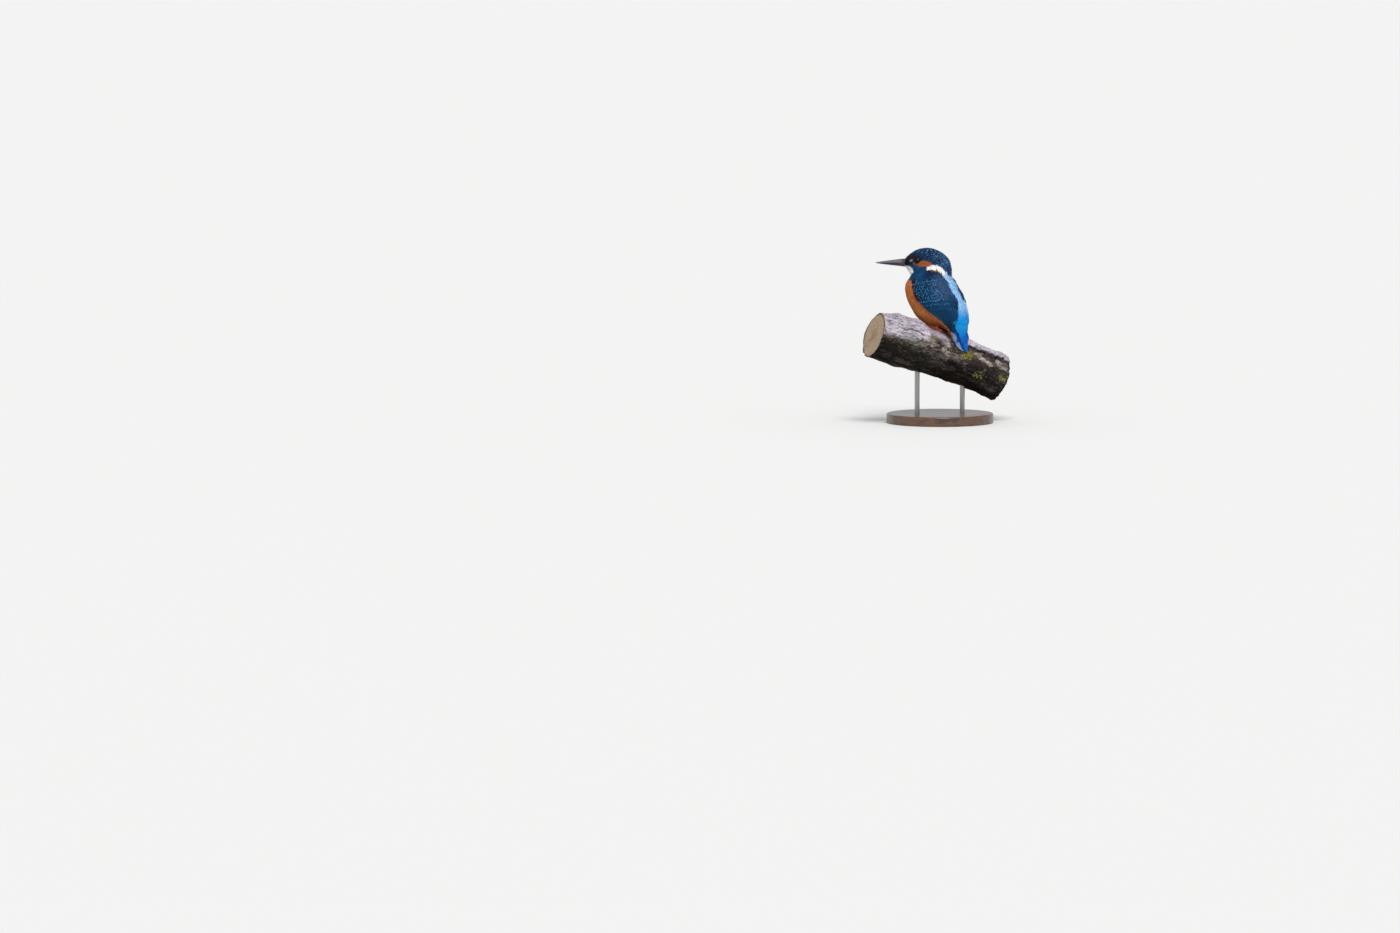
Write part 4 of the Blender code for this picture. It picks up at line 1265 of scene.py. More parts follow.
tailVane = featherMaterial("tailFeather", plumage["tailLeftSheen"], 0.6, 30.0)
tailFeathers()
print("quills made")


# The bill, in the head's own frame before it turns
bill = {
    "root": -33.5, "length": 30.8, "lowerShort": 1.0, "gape": 90.5, "tip": 90.6, "halfWidth": 4.0,
    "upperDepth": 4.7, "lowerDepth": 3.2, "inside": 2.2, "rows": 72, "around": 44, "parting": 0.12,
    # The sheen colour is a painted reflection of the sky on the black upper mandible
    "dark": (0.008, 0.008, 0.010), "streak": (0.030, 0.030, 0.036), "paintedSheen": (0.125, 0.112, 0.158),
    "gapeColour": (0.16, 0.045, 0.038),
}


def mandible(upper):
    # Rings from inside the feathers to the tip: keeled outside, hollowed a little beside the keel
    sign, depth = (1.0, bill["upperDepth"]) if upper else (-1.0, bill["lowerDepth"])
    length = bill["length"] - (0 if upper else bill["lowerShort"])
    shares = np.concatenate([[-bill["inside"] / length], np.linspace(0, 1, bill["rows"]) ** 0.9])
    turns = np.linspace(0, 2 * math.pi, bill["around"], endpoint=False)
    share, turn = np.meshgrid(shares, turns, indexing="ij")
    on = np.clip(share, 0, 1)
    taper = (1 - on) ** 0.86 * 0.94 + 0.06 - 0.03 * smoothStep(on, 0.97, 1.0)
    y = np.cos(turn)
    y = np.sign(y) * np.abs(y) ** (0.86 if upper else 0.95)
    arch = np.abs(np.sin(turn)) ** 0.85
    keel = 1 + 0.045 * np.exp(-(y / 0.16) ** 2) - 0.05 * np.exp(-((np.abs(y) - 0.42) / 0.2) ** 2)
    z = np.where(np.sin(turn) > 0, depth * arch * keel, -0.10 * arch)
    if upper:
        fromKeel = np.abs(turn - math.pi / 2)  # the nostril's slit and the fold of horn over it
        slit = np.exp(-((share * length - 3.4) / 1.3) ** 2 - ((fromKeel - 0.98) / 0.10) ** 2)
        fold = np.exp(-((share * length - 2.6) / 2.2) ** 2 - ((fromKeel - 0.80) / 0.12) ** 2)
        inward = 0.42 * slit - 0.10 * fold
        y, z = y * (1 - inward * 0.25), z * (1 - inward * 0.22)
    y = y * bill["halfWidth"] * taper
    level = bill["gape"] + (bill["tip"] - bill["gape"]) * on + sign * bill["parting"]
    flat = np.stack([bill["root"] - length * share, y, level + sign * z * taper], axis=-1)
    if not upper:
        flat = flat[:, ::-1]
    return share, turn, headTurned(flat)


def makeBill():
    made, graph = newMaterial("horn", {
        "Roughness": 0.4, "Coat Weight": 0.1, "Coat Roughness": 0.3, "Specular IOR Level": 0.42})
    streaks = graph.noise(graph.place((120, 900, 900)), 1, 4)
    shown = graph.colours(streaks.step(0.35, 0.75), bill["dark"], bill["streak"])
    # Painted reflection: the upper mandible's sides lightened towards a lavender grey
    shown = graph.colours(graph.attribute("paintedSheen") * (0.75 + streaks * 0.25), shown, bill["paintedSheen"])
    graph.paint("Base Color", graph.colours(graph.attribute("gape"), shown, bill["gapeColour"]))
    graph.paint("Roughness", 0.33 + streaks * 0.16)
    graph.paint("Normal", graph.bump(streaks, 0.12, 0.0002))
    for name, upper in (("bill_upper", True), ("bill_lower", False)):
        share, turn, rings = mandible(upper)
        mesh = tubeMesh(name + "Horn", placed(rings))
        tomium = np.exp(-(np.sin(turn) / 0.16) ** 2) * fadeOut(share, 0.05, 0.30)
        if not upper:
            tomium = tomium[:, ::-1]
        # Where the painted reflection lies: the upper mandible's sides below its ridge, past its root
        paintedSheen = band(np.sin(turn), 0.12, 0.93, 0.1) * smoothStep(share, 0.0, 0.12) * upper
        for label, values in (("gape", tomium * 0.55), ("paintedSheen", paintedSheen)):
            store(mesh, label, np.append(values, (0, 0)))
        addPiece(name + "Horn", mesh, made, "horn", (name,))


makeBill()
print("bill made")


eye = {
    "rings": 34, "around": 48, "cornea": 0.045, "corneaReach": 0.52,
    "pupil": (0.34, 0.40), "pupilColour": (0.0015, 0.0015, 0.0018),
    "iris": (0.007, 0.0035, 0.002), "irisLight": (0.017, 0.008, 0.004),
}


def makeEyes():
    made, graph = newMaterial("eyeball", {
        "Roughness": 0.07, "Specular IOR Level": 0.2, "Coat Weight": 0.25, "Coat Roughness": 0.02})
    iris = graph.colours(graph.noise(graph.place(), 2600, 3).step(0.3, 0.7), eye["iris"], eye["irisLight"])
    graph.paint("Base Color", graph.colours(
        graph.attribute("fromAxis").step(*eye["pupil"]), eye["pupilColour"], iris))
    for side, name in ((-1, "left"), (1, "right")):
        centre, axis = eyePlace(side)
        first = unit(np.cross(axis, (0, 0, 1.0)))
        second = np.cross(axis, first)
        polar = np.linspace(0, math.pi, eye["rings"])[1:-1]
        turns = np.linspace(0, 2 * math.pi, eye["around"], endpoint=False)
        down, turn = np.meshgrid(polar, turns, indexing="ij")
        dome = 1 + eye["cornea"] * np.exp(-(down / eye["corneaReach"]) ** 4)
        flat = (axis * np.cos(down)[..., None] + (first * np.cos(turn)[..., None]
                + second * np.sin(turn)[..., None]) * np.sin(down)[..., None])
        points, faces = closedTube(centre + flat * (eyeRadius * dome)[..., None])
        points[-2] = centre + axis * eyeRadius * (1 + eye["cornea"])
        points[-1] = centre - axis * eyeRadius
        mesh = outward(meshFrom(f"{name}Eyeball", placed(points), faces))
        store(mesh, "fromAxis", np.append(down, (0, math.pi)))
        addPiece(f"{name}Eyeball", mesh, made, "eye", (f"eye_{name}",))


makeEyes()
print("eyes made")


# The branch: its frame lies along it, with its top at angle 0
branch = {
    "feetX": 5.8, "heading": 51.5, "slope": 18.7, "radius": 24.2, "start": -78.0, "end": 72.0,
    "bend": 2.6, "axisZ": -4.6, "knotAt": -64.0, "knotAngle": 4.0, "knotLength": 10.0,
    "swellings": ((-64.0, 2.4, 10.0, 0.55, 2), (-44.0, 4.4, 21.0, 0.75, 4)),  # place, height, length, spread
    "rows": 300, "around": 280, "capRings": 14, "sawEdge": 0.5,
}

# The bark's relief in millimetres, over the branch unrolled
relief = {
    "perTurn": 24.0, "squeeze": 0.42, "plateSize": 6.0, "crackWidth": 0.11, "crackDepth": 1.15,
    "wander": ((6.0, 2.6), (1.7, 0.7)), "layerSize": 7.5, "layers": 3.2, "ledge": 0.16, "plateStep": 0.6,
    "grain": 0.6, "grainSize": 1.5, "level": -0.35, "seed": 4,
    "mostOut": 0.6, "feetMostOut": 0.12, "lichenMostOut": 0.3,
    "cracks": ((-58, -30, -52, 1.5), (-52, -6, 98, 1.3), (14, 60, 82, 1.4), (-30, 20, -140, 1.3)),
    "scales": ((-4.9, -80, 6.0, 4.6), (-37, -66, 5, 3.6), (47, -74, 6.5, 3.2), (58, -60, 5, 4)),
    "slabEdge": ((21, 65), (-46, -37)), "slabReach": (20, 66), "slabWide": (8, 20), "slabHigh": 1.3,
    "slabCrevice": 3.0, "knotRipple": 0.45, "knotPit": 1.6,
}
bark = {
    "base": (0.172, 0.148, 0.134), "pale": (0.455, 0.405, 0.465), "brown": (0.036, 0.025, 0.019),
    "ridge": (0.36, 0.31, 0.28), "crack": (0.020, 0.015, 0.012), "green": (0.21, 0.21, 0.165),
    "wood": (0.40, 0.30, 0.205), "ring": (0.20, 0.13, 0.08), "pith": (0.20, 0.115, 0.065),
    "grain": (0.15, 0.105, 0.07), "blotch": (1.5, 1.45, 1.45), "grit": (0.36, 0.33, 0.32),
    "fleck": (1.9, 1.85, 1.9),
}


def branchAxes():
    heading, slope = math.radians(branch["heading"]), math.radians(branch["slope"])
    along = np.array((math.cos(heading) * math.cos(slope), math.sin(heading) * math.cos(slope),
                      -math.sin(slope)))
    aside = np.array((-math.sin(heading), math.cos(heading), 0.0))
    return along, aside, np.cross(along, aside)


def branchPoint(at, turn, radius):
    along, aside, top = branchAxes()
    middle, half = (branch["start"] + branch["end"]) / 2, (branch["end"] - branch["start"]) / 2
    rise = -branch["bend"] * ((at - middle) / half) ** 2 + radius * np.cos(turn)
    return (np.array((branch["feetX"], 0, branch["axisZ"])) + at[..., None] * along
            + (radius * np.sin(turn))[..., None] * aside + rise[..., None] * top)


def turnFrom(turn, line):
    # Turn from a line along the branch, up to half a turn either way
    return np.remainder(turn - line + math.pi, 2 * math.pi) - math.pi


def knotTurn(turn):
    return turnFrom(turn, math.radians(branch["knotAngle"]))


def branchRadius(at, turn):
    lumps = (0.9 * np.sin(at * 0.052 + 0.6) * np.cos(turn - 0.5) + 0.55 * np.sin(2 * turn + at * 0.11)
             + 0.4 * np.sin(3 * turn - at * 0.19 + 1.2) + 0.3 * np.sin(5 * turn + at * 0.31))
    radius = branch["radius"] + lumps
    for place, height, length, spread, power in branch["swellings"]:
        radius = radius + height * np.exp(-((at - place) / length) ** power - (knotTurn(turn) / spread) ** 2)
    return radius


def feetShare(at, turn):
    # The stretch of the branch under the bird, where the bark stays within the feet's gap
    return band(at, -17, 34, 5) * smoothStep(np.cos(turn), 0.3, 0.7)


def barkRoughness(at, turn):
    # Smooth pale bark on top, longer on its upper end, and rough dark bark below it
    side = np.degrees(np.abs(turn))
    line = np.interp(at, (-78, -40, -15, 20, 72), (84, 78, 52, 44, 40))
    soft = np.interp(at, (-10, 22), (14, 6))
    return 0.25 + 0.75 * smoothStep(side, line - soft, line + soft)


def barkPlates(at, turn, rough):
    # Plates parted by cracks: their height, and how deep in a crack, how pale and how mossy each place is;
    # the crack depth later darkens the bark, partly as painted shade
    height, crackAndShade, plateTone, mossy = (np.zeros(at.shape) for _ in range(4))
    (size, reach), (fineSize, fineReach) = relief["wander"]
    perTurn = relief["perTurn"]
    noise.seed_set(relief["seed"])
    for index in np.ndindex(at.shape):
        s, t, roughHere = float(at[index]), float(turn[index]), rough[index]
        flat = Vector((s * relief["squeeze"], perTurn * math.cos(t), perTurn * math.sin(t)))
        wander = (Vector(noise.noise_vector(flat / size)) * reach
                  + Vector(noise.noise_vector(flat / fineSize)) * fineReach)
        gaps, cells = noise.voronoi((flat + wander) / relief["plateSize"])
        fine = noise.fractal(flat / relief["grainSize"] + Vector((3, 7, 1)), 0.65, 2.1, 5)
        broad = noise.noise(flat / 13.0)
        layers = relief["layers"] * noise.fractal(
            flat / relief["layerSize"] + wander * 0.05 + Vector((9, 2, 5)), 0.8, 2.2, 4)
        step = math.floor(layers)
        ledge = min(1.0, (layers - step) / relief["ledge"])
        edge = max(0.0, 1 - (gaps[1] - gaps[0]) / relief["crackWidth"])
        openness = min(1.0, max(0.0, 0.15 + 2.0 * broad))
        depth = edge * edge * (3 - 2 * edge) * openness * roughHere
        depth = max(depth, (1 - ledge) * 0.75 * roughHere)
        height[index] = (-relief["crackDepth"] * depth + relief["plateStep"] * (step + ledge) * roughHere
                         + relief["grain"] * fine * (0.35 + 0.65 * roughHere) + relief["level"])
        crackAndShade[index] = depth
        plateTone[index] = (0.5 + 0.22 * step + 0.32 * fine
                            + 0.6 * (noise.cell(cells[0] * 7.3) - 0.5) * roughHere)
        mossy[index] = fine + broad
    return height, crackAndShade, plateTone, mossy


def barkRelief(at, turn):
    # The plates with the long cracks, the torn slab, the raised scales and the healed knot
    height, crackAndShade, plateTone, mossy = barkPlates(at, turn, barkRoughness(at, turn))
    for start, end, angle, depth in relief["cracks"]:
        line = math.radians(angle) + 0.05 * np.sin(at * 0.21 + angle) + 0.03 * np.sin(at * 0.63)
        cut = np.exp(-(turnFrom(turn, line) * relief["perTurn"] / 0.7) ** 2) * band(at, start, end, 3)
        height = height - depth * cut
        crackAndShade = np.maximum(crackAndShade, cut)
    wobble = 0.045 * np.sin(at * 0.9) + 0.03 * np.sin(at * 2.3 + 1) + 0.05 * np.sin(at * 0.31)
    past = (turn - np.radians(np.interp(at, *relief["slabEdge"])) - wobble) * relief["perTurn"]
    slab, wide = band(at, *relief["slabReach"], 1.2), fadeOut(past, *relief["slabWide"])
    height = height + slab * (
        relief["slabHigh"] * smoothStep(past, -0.9, 0.7) * wide
        - relief["slabCrevice"] * smoothStep(past, -3.4, -1.2) * fadeOut(past, -1.0, 0.6))
    # Painted shadow in the crevice under the torn slab's edge
    crackAndShade = np.maximum(crackAndShade, slab * smoothStep(past, -2.6, -1.2) * fadeOut(past, -0.1, 1.3))
    plateTone = plateTone + 0.5 * slab * smoothStep(past, 0, 1) * wide
    plateTone = plateTone + 0.34 * band(at, 16, 72, 5) * band(past, -14, -3.8, 1.5)
    for middle, angle, long, high in relief["scales"]:
        off = turn - math.radians(angle)
        far = (np.abs((at - middle) + off * 9) / long
               + np.abs(off * relief["perTurn"] + 0.5 * np.sin(at * 1.9)) / high)
        plate = fadeOut(far, 0.92, 1.04)
        height = height + 0.55 * plate - 1.0 * band(far, 1.0, 1.16, 0.05)
        # Painted shadow under each scale's lower rim, on that side only
        crackAndShade = np.maximum(crackAndShade, 0.7 * band(far, 1.0, 1.14, 0.05) * (off < 0))
        plateTone = plateTone + plate * (1.0 - 0.75 * plateTone)
    away = np.hypot((at - branch["knotAt"]) / branch["knotLength"], knotTurn(turn) / 0.42)
    ripples = np.cos(away * 9.0) * np.exp(-(away / 1.3) ** 2)
    height = height + relief["knotRipple"] * ripples - relief["knotPit"] * np.exp(-(away / 0.25) ** 2)
    calm = feetShare(at, turn)
    height = np.minimum(height, relief["mostOut"]) * (1 - 0.5 * calm)
    most = relief["mostOut"] + (relief["feetMostOut"] - relief["mostOut"]) * calm
    return np.where(calm > 0, np.minimum(height, most), height), crackAndShade, plateTone, mossy


def barkMaterial():
    made, graph = newMaterial("barkAndWood", {"Roughness": 0.9, "Specular IOR Level": 0.1})
    place, flat, tint = graph.place(), graph.attribute("flat", 1), graph.attribute("tint", 0)
    fine = graph.noise(flat, 1300, 6, 0.65)
    grit = graph.noise(flat, 420, 5, 0.7)
    blotch = graph.noise(flat, 120, 4, 0.6)
    shown = graph.colours(blotch.step(0.45, 0.70), tint, graph.shaded(tint, bark["blotch"]))
    shown = graph.colours((1 - grit.step(0.40, 0.52)) * 0.85, shown, graph.shaded(tint, bark["grit"]))
    shown = graph.colours((1 - fine.step(0.36, 0.45)) * 0.85, shown, bark["crack"])
    shown = graph.colours(fine.step(0.56, 0.70) * 0.6, shown, graph.shaded(tint, bark["fleck"]))
    heart, cut = graph.attribute("heart"), graph.attribute("cut")
    uneven = heart + graph.noise(place, 70, 3) * 5.0 + graph.noise(place, 600, 3) * 0.5
    lines = (uneven * 4.6 + (uneven * 0.9).math("SINE") * 1.6).math("SINE")
    fade = graph.noise(place, 190, 4, 0.7).step(0.30, 0.68)
    wood = graph.colours(lines.step(0.1, 0.98) * fade * 0.55, bark["wood"], bark["ring"])
    wood = graph.colours(heart.step(11.0, 3.0) * 0.45, wood, bark["pith"])
    wood = graph.colours((1 - grit.step(0.34, 0.58)) * 0.55, wood, bark["grain"])
    wood = graph.colours(heart.step(21.0, 23.6) * 0.75, wood, bark["brown"])
    graph.paint("Base Color", graph.colours(cut, shown, wood))
    height = graph.add("ShaderNodeMix", {"data_type": "FLOAT"}, {
        0: cut, 2: fine * 0.6 + grit, 3: lines * 0.12})
    graph.paint("Normal", graph.bump(height, 0.8, 0.0006))
    return made


def sawnEnd(end, at, turns, radius):
    # Rings from one end's edge in to its middle: place, turn, radius, tint, cut, distance from the heart
    inward = 1.0 if end == 0 else -1.0
    shares = 1 - (np.arange(1, branch["capRings"] + 1) / (branch["capRings"] + 0.4)) ** 0.9
    rings = []
    for number, share in enumerate(shares):
        split = np.exp(-(knotTurn(turns - 2.3 - end) * share * relief["perTurn"] / 0.9) ** 2)
        split = split * smoothStep(share, 0.0, 0.3)
        sawn = 0.10 * np.sin(turns * 3 + share * 9) + 0.25 * (number == 0) + 1.4 * split
        ringRadius = radius * share if number else radius - branch["sawEdge"]
        cut = np.full(len(turns), float(number > 0 or share < 0.97))
        # The split darker: partly the wood's own darker check, partly painted shade in it
        tint = mixed(np.tile(bark["wood"], (len(turns), 1)), bark["crack"], split * 0.9)
        rings.append((at + inward * sawn, turns, ringRadius, tint, cut, ringRadius))
    return [np.array(values) for values in zip(*rings)]


def makeBranch():
    stations = np.linspace(branch["start"], branch["end"], branch["rows"])
    turns = np.linspace(-math.pi, math.pi, branch["around"], endpoint=False)
    at, turn = np.meshgrid(stations, turns, indexing="ij")
    height, crackAndShade, plateTone, mossy = barkRelief(at, turn)
    radius = branchRadius(at, turn) + height
    rough = smoothStep(barkRoughness(at, turn), 0.25, 1.0)
    damp = smoothStep(mossy, 0.0, 0.5) * band(at, -70, -8, 12) * smoothStep(np.abs(turn), 0.8, 1.5)
    tint = mixed(np.zeros((*at.shape, 3)) + bark["pale"], bark["base"], rough)
    tint = mixed(tint, bark["ridge"], smoothStep(plateTone, 0.58, 0.92) * 0.85 * rough)
    tint = mixed(tint, bark["brown"], fadeOut(plateTone, 0.1, 0.5) * (0.25 + 0.65 * rough))
    tint = mixed(tint, bark["green"], damp * 0.7)
    # Painted shade: the bark darkened by up to four fifths round the branch's underside
    tint = tint * (1 - 0.80 * smoothStep(np.abs(turn), 1.2, 1.9))[..., None]
    # Darker in the cracks: partly the bark's own darker fissures, partly painted shade in them
    tint = mixed(tint, bark["crack"], crackAndShade * 0.95)
    first, last = (sawnEnd(end, stations[end], turns, radius[end]) for end in (0, len(stations) - 1))
    side = (at, turn, radius, tint, np.zeros(at.shape), np.zeros(at.shape))
    at, turn, radius, tint, cut, heart = (
        np.concatenate([a[::-1], b, c]) for a, b, c in zip(first, side, last))
    mesh = tubeMesh("barkedBranch", placed(branchPoint(at, turn, radius)))
    flat = np.stack([at * 0.45, radius * np.cos(turn), radius * np.sin(turn)], -1) * mm
    store(mesh, "flat", withEnds(flat), "FLOAT_VECTOR")
    store(mesh, "tint", withEnds(tint), "FLOAT_COLOR")
    store(mesh, "cut", withEnds(cut))
    store(mesh, "heart", withEnds(heart))
    addPiece("barkedBranch", mesh, barkMaterial(), "bark", ("perch_branch",))


makeBranch()
print("branch made")


# Yellow lichen in crusts: place along, turn, reach along and across, and how many lobes
lichen = {
    "crusts": ((18.5, -70, 8.5, 4.2, 420), (10.0, -60, 5.0, 2.4, 90), (-21.0, -54, 3.4, 1.6, 70),
               (66.0, -92, 4.0, 4.0, 110), (40.0, -112, 6.0, 2.5, 70), (-40.0, 118, 6.0, 3.0, 120)),
    "largest": 0.8, "smallest": 0.3, "edge": 0.8, "shapes": 4, "points": 7, "seed": 3,
    "profile": ((0.2, -0.6), (0.9, -0.5), (1.0, 0.10), (0.62, 0.26), (0.2, 0.16)),
    "yellow": (0.29, 0.25, 0.05), "olive": (0.11, 0.11, 0.04), "grit": (0.05, 0.05, 0.02),
}


def lobeShape(number):
    # A low lobed dome, closed below
    draw = np.random.default_rng(60 + number)
    turns = np.linspace(0, 2 * math.pi, lichen["points"], endpoint=False)
    edge = 1 + draw.uniform(-0.3, 0.3, lichen["points"])
    rings = [[(r * e * math.cos(t), r * e * math.sin(t), z) for t, e in zip(turns, edge)]
             for r, z in lichen["profile"]]
    return bpy.data.objects.new(f"lobe{number}", tubeMesh(f"lobe{number}", rings))


def crustTree():
    # Sets a lobe on each place of a crust, turned to the bark and sized at random
    graph, given = newTree("lichenCrust", (
        ("Places", "Geometry"), ("Lobes", "Collection"), ("Lobe size", "Float"), ("Smallest", "Float", 0.3),
        ("Seed", "Int"), ("Lichen", "Material")))
    spin = graph.add("FunctionNodeRandomValue", {"data_type": "FLOAT_VECTOR"},
                     {0: (-1.0, -1.0, -1.0), 1: (1.0, 1.0, 1.0), "Seed": given["Seed"]})
    turn = graph.add("FunctionNodeAxesToRotation", {"primary_axis": "Z", "secondary_axis": "X"},
                     {0: graph.named("outwards", "FLOAT_VECTOR"), 1: spin})
    pick = graph.add("GeometryNodeCollectionInfo", None, {
        "Collection": given["Lobes"], "Separate Children": True, "Reset Children": True})
    grown = graph.add("FunctionNodeRandomValue", {"data_type": "FLOAT"},
                      {2: given["Smallest"], 3: 1.0, "Seed": given["Seed"]}, 1)
    lobesSet = graph.add("GeometryNodeInstanceOnPoints", None, {
        "Points": given["Places"], "Instance": pick, "Pick Instance": True, "Rotation": turn,
        "Scale": grown * given["Lobe size"]})
    real = graph.add("GeometryNodeRealizeInstances", None, {"Geometry": lobesSet})
    return endTree(graph, real, given["Lichen"])


def makeLichen():
    draw = np.random.default_rng(5)
    at, turn, tone = [], [], []
    for centre, angle, reach, across, count in lichen["crusts"]:
        at.append(centre + draw.normal(0, reach * 0.5, count))
        turn.append(np.radians(angle) + draw.normal(0, across * 0.5, count) / branch["radius"])
        tone.append(draw.random(count))
    at, turn, tone = (np.concatenate(values) for values in (at, turn, tone))
    at = np.minimum(at, branch["end"] - lichen["edge"])
    radius = branchRadius(at, turn) + np.minimum(barkRelief(at, turn)[0], relief["lichenMostOut"])
    places = branchPoint(at, turn, radius + 0.05)
    mesh = meshFrom("lichenPlaces", placed(places), [])
    store(mesh, "outwards", unit(branchPoint(at, turn, radius + 1.0) - places), "FLOAT_VECTOR")
    store(mesh, "tint", mixed(np.tile(lichen["yellow"], (len(at), 1)), lichen["olive"], tone), "FLOAT_COLOR")
    made, graph = newMaterial("lichenCrust", {"Roughness": 0.95, "Specular IOR Level": 0.1})
    grit = graph.noise(graph.place(), 2200, 3)
    graph.paint("Base Color", graph.colours(
        (1 - grit.step(0.35, 0.6)) * 0.5, graph.attribute("tint", 0), lichen["grit"]))
    graph.paint("Normal", graph.bump(grit, 0.6, 0.0002))
    lobes = bpy.data.collections.new("lobes")
    for number in range(lichen["shapes"]):
        lobes.objects.link(lobeShape(number))
    crust = applied(bpy.data.objects.new("lichenPlaces", mesh), crustTree(), {
        "Lobes": lobes, "Lobe size": lichen["largest"] * mm, "Smallest": lichen["smallest"],
        "Seed": lichen["seed"], "Lichen": made})
    crust.name = "lichenCrusts"
    addPiece("lichenCrusts", crust, made, "bark")


makeLichen()
print("lichen made")


# Feet: scaled toes laid over the branch, with their claws
feet = {
    "spacing": 7.0, "tarsus": 1.5, "toe": 1.2, "gap": 0.3, "sole": 0.6, "toeRoot": 0.45, "claw": 3.4,
    "hipZ": 31.0, "knuckle": 1.25, "thickness": (1.1, 1.12, 0.98, 1.05, 0.9, 0.62),
    "toes": {  # length, angle from straight ahead, and number of scutes
        "inner": (8.5, 26.0, 8), "middle": (11.5, 4.0, 11), "outer": (10.5, -13.0, 10),
        "hind": (6.5, 184.0, 6)},
    "shank": ((0, 0.15, 0.4, 1), (1.16, 1.0, 0.95, 1.1)), "shankScutes": 12,
    "clawTaper": ((0, 0.25, 0.7, 1.0), (0.60, 0.56, 0.34, 0.10)), "clawDeep": 1.15,
    "red": (0.50, 0.062, 0.028), "orange": (0.66, 0.115, 0.05), "seam": (0.16, 0.022, 0.016),
    "clawColour": (0.012, 0.010, 0.010, 1.0),
}


def tubeAlong(centres, radii, around, flatten=1.0):
    ahead = unit(np.gradient(centres, axis=0))
    side = unit(np.cross(ahead, (0, 0, 1.0)))
    top = np.cross(side, ahead)
    turns = np.linspace(0, 2 * math.pi, around, endpoint=False)
    return (centres[:, None] + radii[..., None] * (np.cos(turns)[None, :, None] * side[:, None]
            + np.sin(turns)[None, :, None] * top[:, None] * flatten))


def gather(piece, tube, seam=None):
    # Adds one closed tube to a piece that is made of several
    points, faces = closedTube(tube)
    start = sum(len(p) for p in piece["points"])
    piece["points"].append(points)
    piece["faces"] += [tuple(i + start for i in face) for face in faces]
    if seam is not None:
        piece["seam"].append(np.append(seam, (0, 0)))


def scaledTube(centres, radii, count, around, sole=0.0):
    # A toe or a shank as a tube with scutes across its upper side, and where their seams lie
    shares = np.linspace(0, 1, len(centres))
    turns = np.linspace(0, 2 * math.pi, around, endpoint=False)
    wave = np.abs(np.sin(math.pi * count * shares))[:, None] ** 0.5
    upper = smoothStep(np.sin(turns), -0.2, 0.5)[None, :]
    pads = 0.05 * np.sin(math.pi * 3.2 * shares)[:, None] * (1 - upper)
    below = sole * smoothStep(-np.sin(turns), 0.2, 1.0)[None, :]
    grown = radii[:, None] * (0.93 + 0.08 * wave * upper + 0.05 * (1 - upper) + pads + below)
    return tubeAlong(centres, grown, around), (1 - wave) * upper


def makeFeet():
    skinned, graph = newMaterial("scaledFoot", {
        "Roughness": 0.42, "Specular IOR Level": 0.5, "Coat Weight": 0.15, "Coat Roughness": 0.3})
    base = graph.colours(graph.noise(graph.place(), 900, 3).step(0.3, 0.7), feet["red"], feet["orange"])
    graph.paint("Base Color", graph.colours(graph.attribute("seam") * 0.7, base, feet["seam"]))
    horny = newMaterial("clawHorn", {
        "Base Color": feet["clawColour"], "Roughness": 0.3, "Coat Weight": 0.3})[0]
    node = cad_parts["perch_branch"]
    tree = BVHTree.FromPolygons([v.co.copy() for v in node.data.vertices],
                                [tuple(p.vertices) for p in node.data.polygons])

    def surface(x, y):
        hit = tree.ray_cast(Vector(placed((x, y, 60.0))), Vector((0, 0, -1)))[0]
        return (hit.z - birdPlace[2]) / mm

    for name, side in (("left", -1), ("right", 1)):
        middle = np.array([branch["feetX"], side * feet["spacing"]])
        ankle = np.array((*middle, surface(*middle) + feet["gap"] + feet["toe"] + 0.2))
        shin = ankle + (0.7, 0, 3.0)
        hip = np.array((middle[0] + 2.0, middle[1] - side * 0.5, feet["hipZ"]))
        foot, claws = ({"points": [], "faces": [], "seam": []} for _ in range(2))
        shank = curveThrough(np.array([ankle, shin, (shin + hip) / 2, hip]), np.linspace(0, 3, 60))
        gather(foot, *scaledTube(shank, feet["tarsus"] * np.interp(np.linspace(0, 1, 60), *feet["shank"]),
                                 feet["shankScutes"], 24))
        for length, angle, scutes in feet["toes"].values():
            heading = math.radians(180 + side * angle)
            ahead = np.array((math.cos(heading), math.sin(heading)))
            knots = []
            for i in range(6):
                x, y = middle + ahead * (feet["toeRoot"] + length * i / 5)
                lift = feet["toe"] * (feet["knuckle"] if i in (1, 3) else 1.0)
                knots.append((x, y, surface(x, y) + feet["gap"] + lift))
            path = curveThrough(np.array(knots), np.linspace(0, 5, 64))
            radii = feet["toe"] * shareCurve(np.array(feet["thickness"]), np.linspace(0, 1, 64))
            gather(foot, *scaledTube(path, radii, scutes, 20, feet["sole"]))
            tip = np.array(knots[-1])
            hook, nail = (tip[:2] + ahead * feet["claw"] * part for part in (0.55, 1.0))
            bend = np.array([path[-6], tip, (*hook, max(tip[2] + 0.1, surface(*hook) + feet["gap"] + 1.0)),
                             (*nail, surface(*nail) + feet["gap"] + 0.35)])
            curve = curveThrough(bend, np.linspace(0.6, 3, 26))
            radii = np.interp(np.linspace(0, 1, 26), *feet["clawTaper"])
            gather(claws, tubeAlong(curve, radii[:, None] * np.ones((1, 14)), 14, feet["clawDeep"]))
        for piece, label, material, nodes in ((foot, "FootScales", skinned, (f"foot_{name}",)),
                                              (claws, "Claws", horny, ())):
            mesh = outward(meshFrom(name + label, placed(np.concatenate(piece["points"])), piece["faces"]))
            if piece["seam"]:
                store(mesh, "seam", np.concatenate(piece["seam"]))
            addPiece(name + label, mesh, material, "foot", nodes)


makeFeet()
print("feet made")


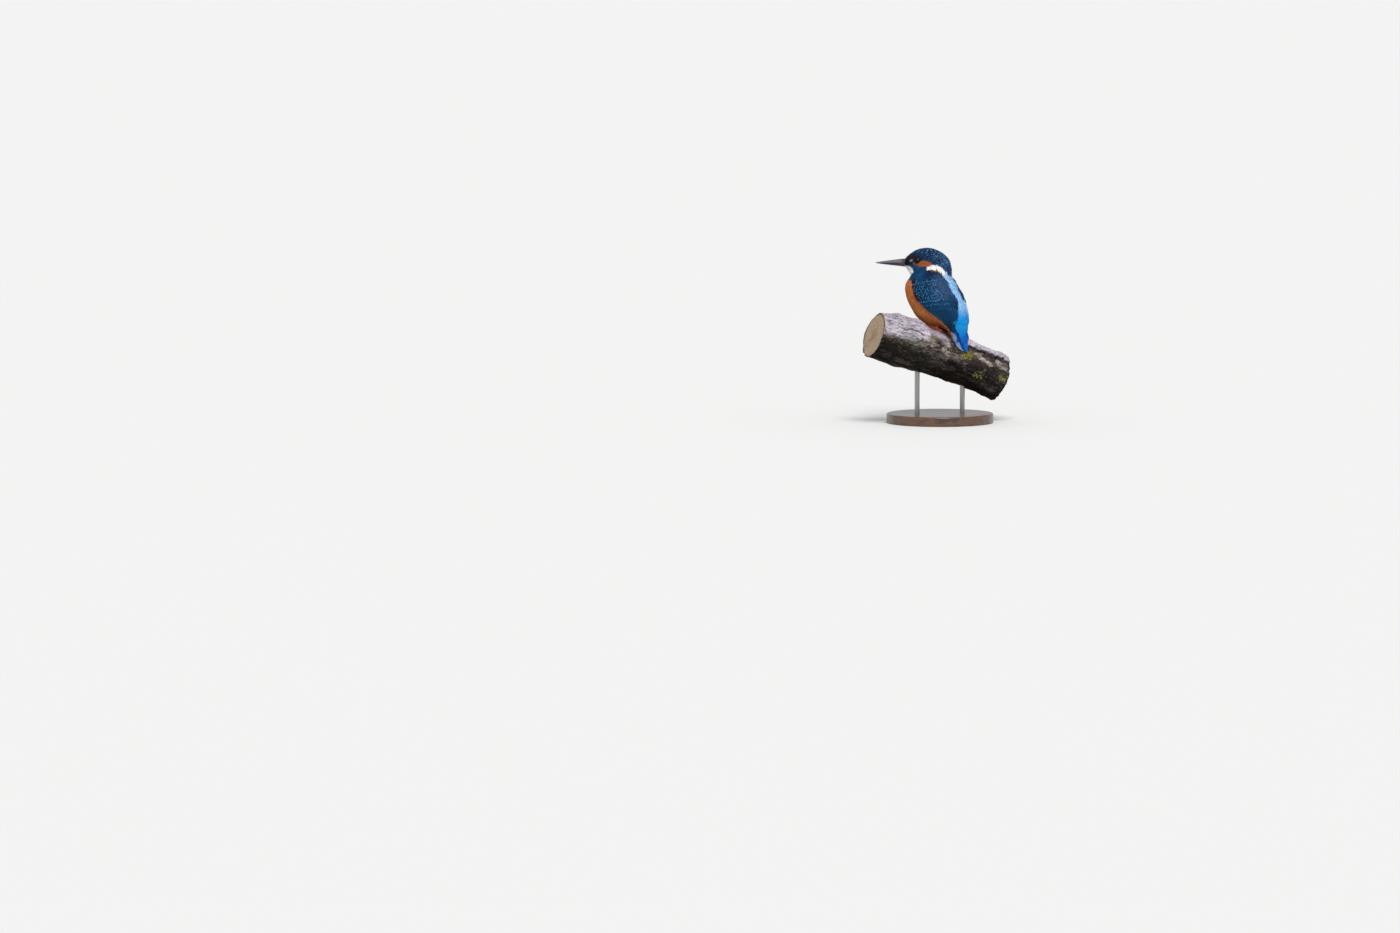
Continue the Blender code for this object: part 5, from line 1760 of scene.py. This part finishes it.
stand = {
    "around": 160, "edge": 1.6, "rodAround": 48, "rodEdge": 0.2,
    "wood": (0.115, 0.052, 0.025), "grain": (0.050, 0.022, 0.011), "pore": (0.016, 0.008, 0.005),
    "steel": (0.34, 0.335, 0.33, 1.0),
}


def lathePiece(name, node, around, profileOf, material, slot):
    # Turns a profile of radius and height round the upright axis of a solid, to that solid's own size
    low, high = (np.array(v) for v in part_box(node))
    centre = (low + high) / 2
    turns = np.linspace(0, 2 * math.pi, around, endpoint=False)
    rings = [[(centre[0] + r * math.cos(t), centre[1] + r * math.sin(t), z) for t in turns]
             for r, z in profileOf((high[0] - low[0]) / 2, low[2], high[2])]
    addPiece(name, tubeMesh(name, rings), material, slot, (node,))


def baseProfile(radius, foot, top):
    edge = stand["edge"] * mm
    profile = [(0.002 * k, foot) for k in range(1, 3)]
    profile += [(radius - edge * 0.5, foot), (radius - edge * 0.15, foot + edge * 0.15),
                (radius, foot + edge * 0.5)]
    profile += [(radius, foot + (top - edge * 1.6 - foot) * f) for f in (0.3, 0.6, 0.97)]
    for k in range(9):
        turn = math.pi / 2 * k / 8
        profile.append((radius - edge + edge * math.cos(turn), top - edge + edge * math.sin(turn)))
    return profile + [(radius * f, top) for f in (0.95, 0.9, 0.75, 0.5, 0.25, 0.08, 0.02)]


def rodProfile(radius, foot, top):
    edge = stand["rodEdge"] * mm
    sides = [(radius, foot + (top - foot) * f) for f in np.linspace(0.02, 0.98, 12)]
    return [(radius * 0.3, foot), (radius, foot + edge), *sides, (radius, top - edge), (radius * 0.3, top)]


def makeStand():
    wood, graph = newMaterial("standWood", {
        "Roughness": 0.35, "Specular IOR Level": 0.5, "Coat Weight": 0.35, "Coat Roughness": 0.18})
    pores = graph.noise(graph.place((60, 1500, 1500)), 1.0, 3)
    rings = (graph.noise(graph.place((9, 70, 70)), 1.0, 5, 0.6) * 26).math("SINE") * 0.5 + 0.5
    shown = graph.colours(rings, stand["grain"], stand["wood"])
    graph.paint("Base Color", graph.colours((1 - pores.step(0.34, 0.46)) * 0.6, shown, stand["pore"]))
    graph.paint("Normal", graph.bump(pores, 0.12, 0.0001))
    lathePiece("turnedBase", "stand_base", stand["around"], baseProfile, wood, "stand_wood")
    steel, graph = newMaterial("standSteel", {"Metallic": 1.0, "Base Color": stand["steel"]})
    graph.paint("Roughness", 0.22 + graph.noise(graph.place((300, 300, 4000)), 1.0, 3) * 0.2)
    for number in (1, 2):
        lathePiece(f"steelRod{number}", f"stand_rod_{number}", stand["rodAround"], rodProfile, steel,
                   "stand_steel")


makeStand()
print("stand made")
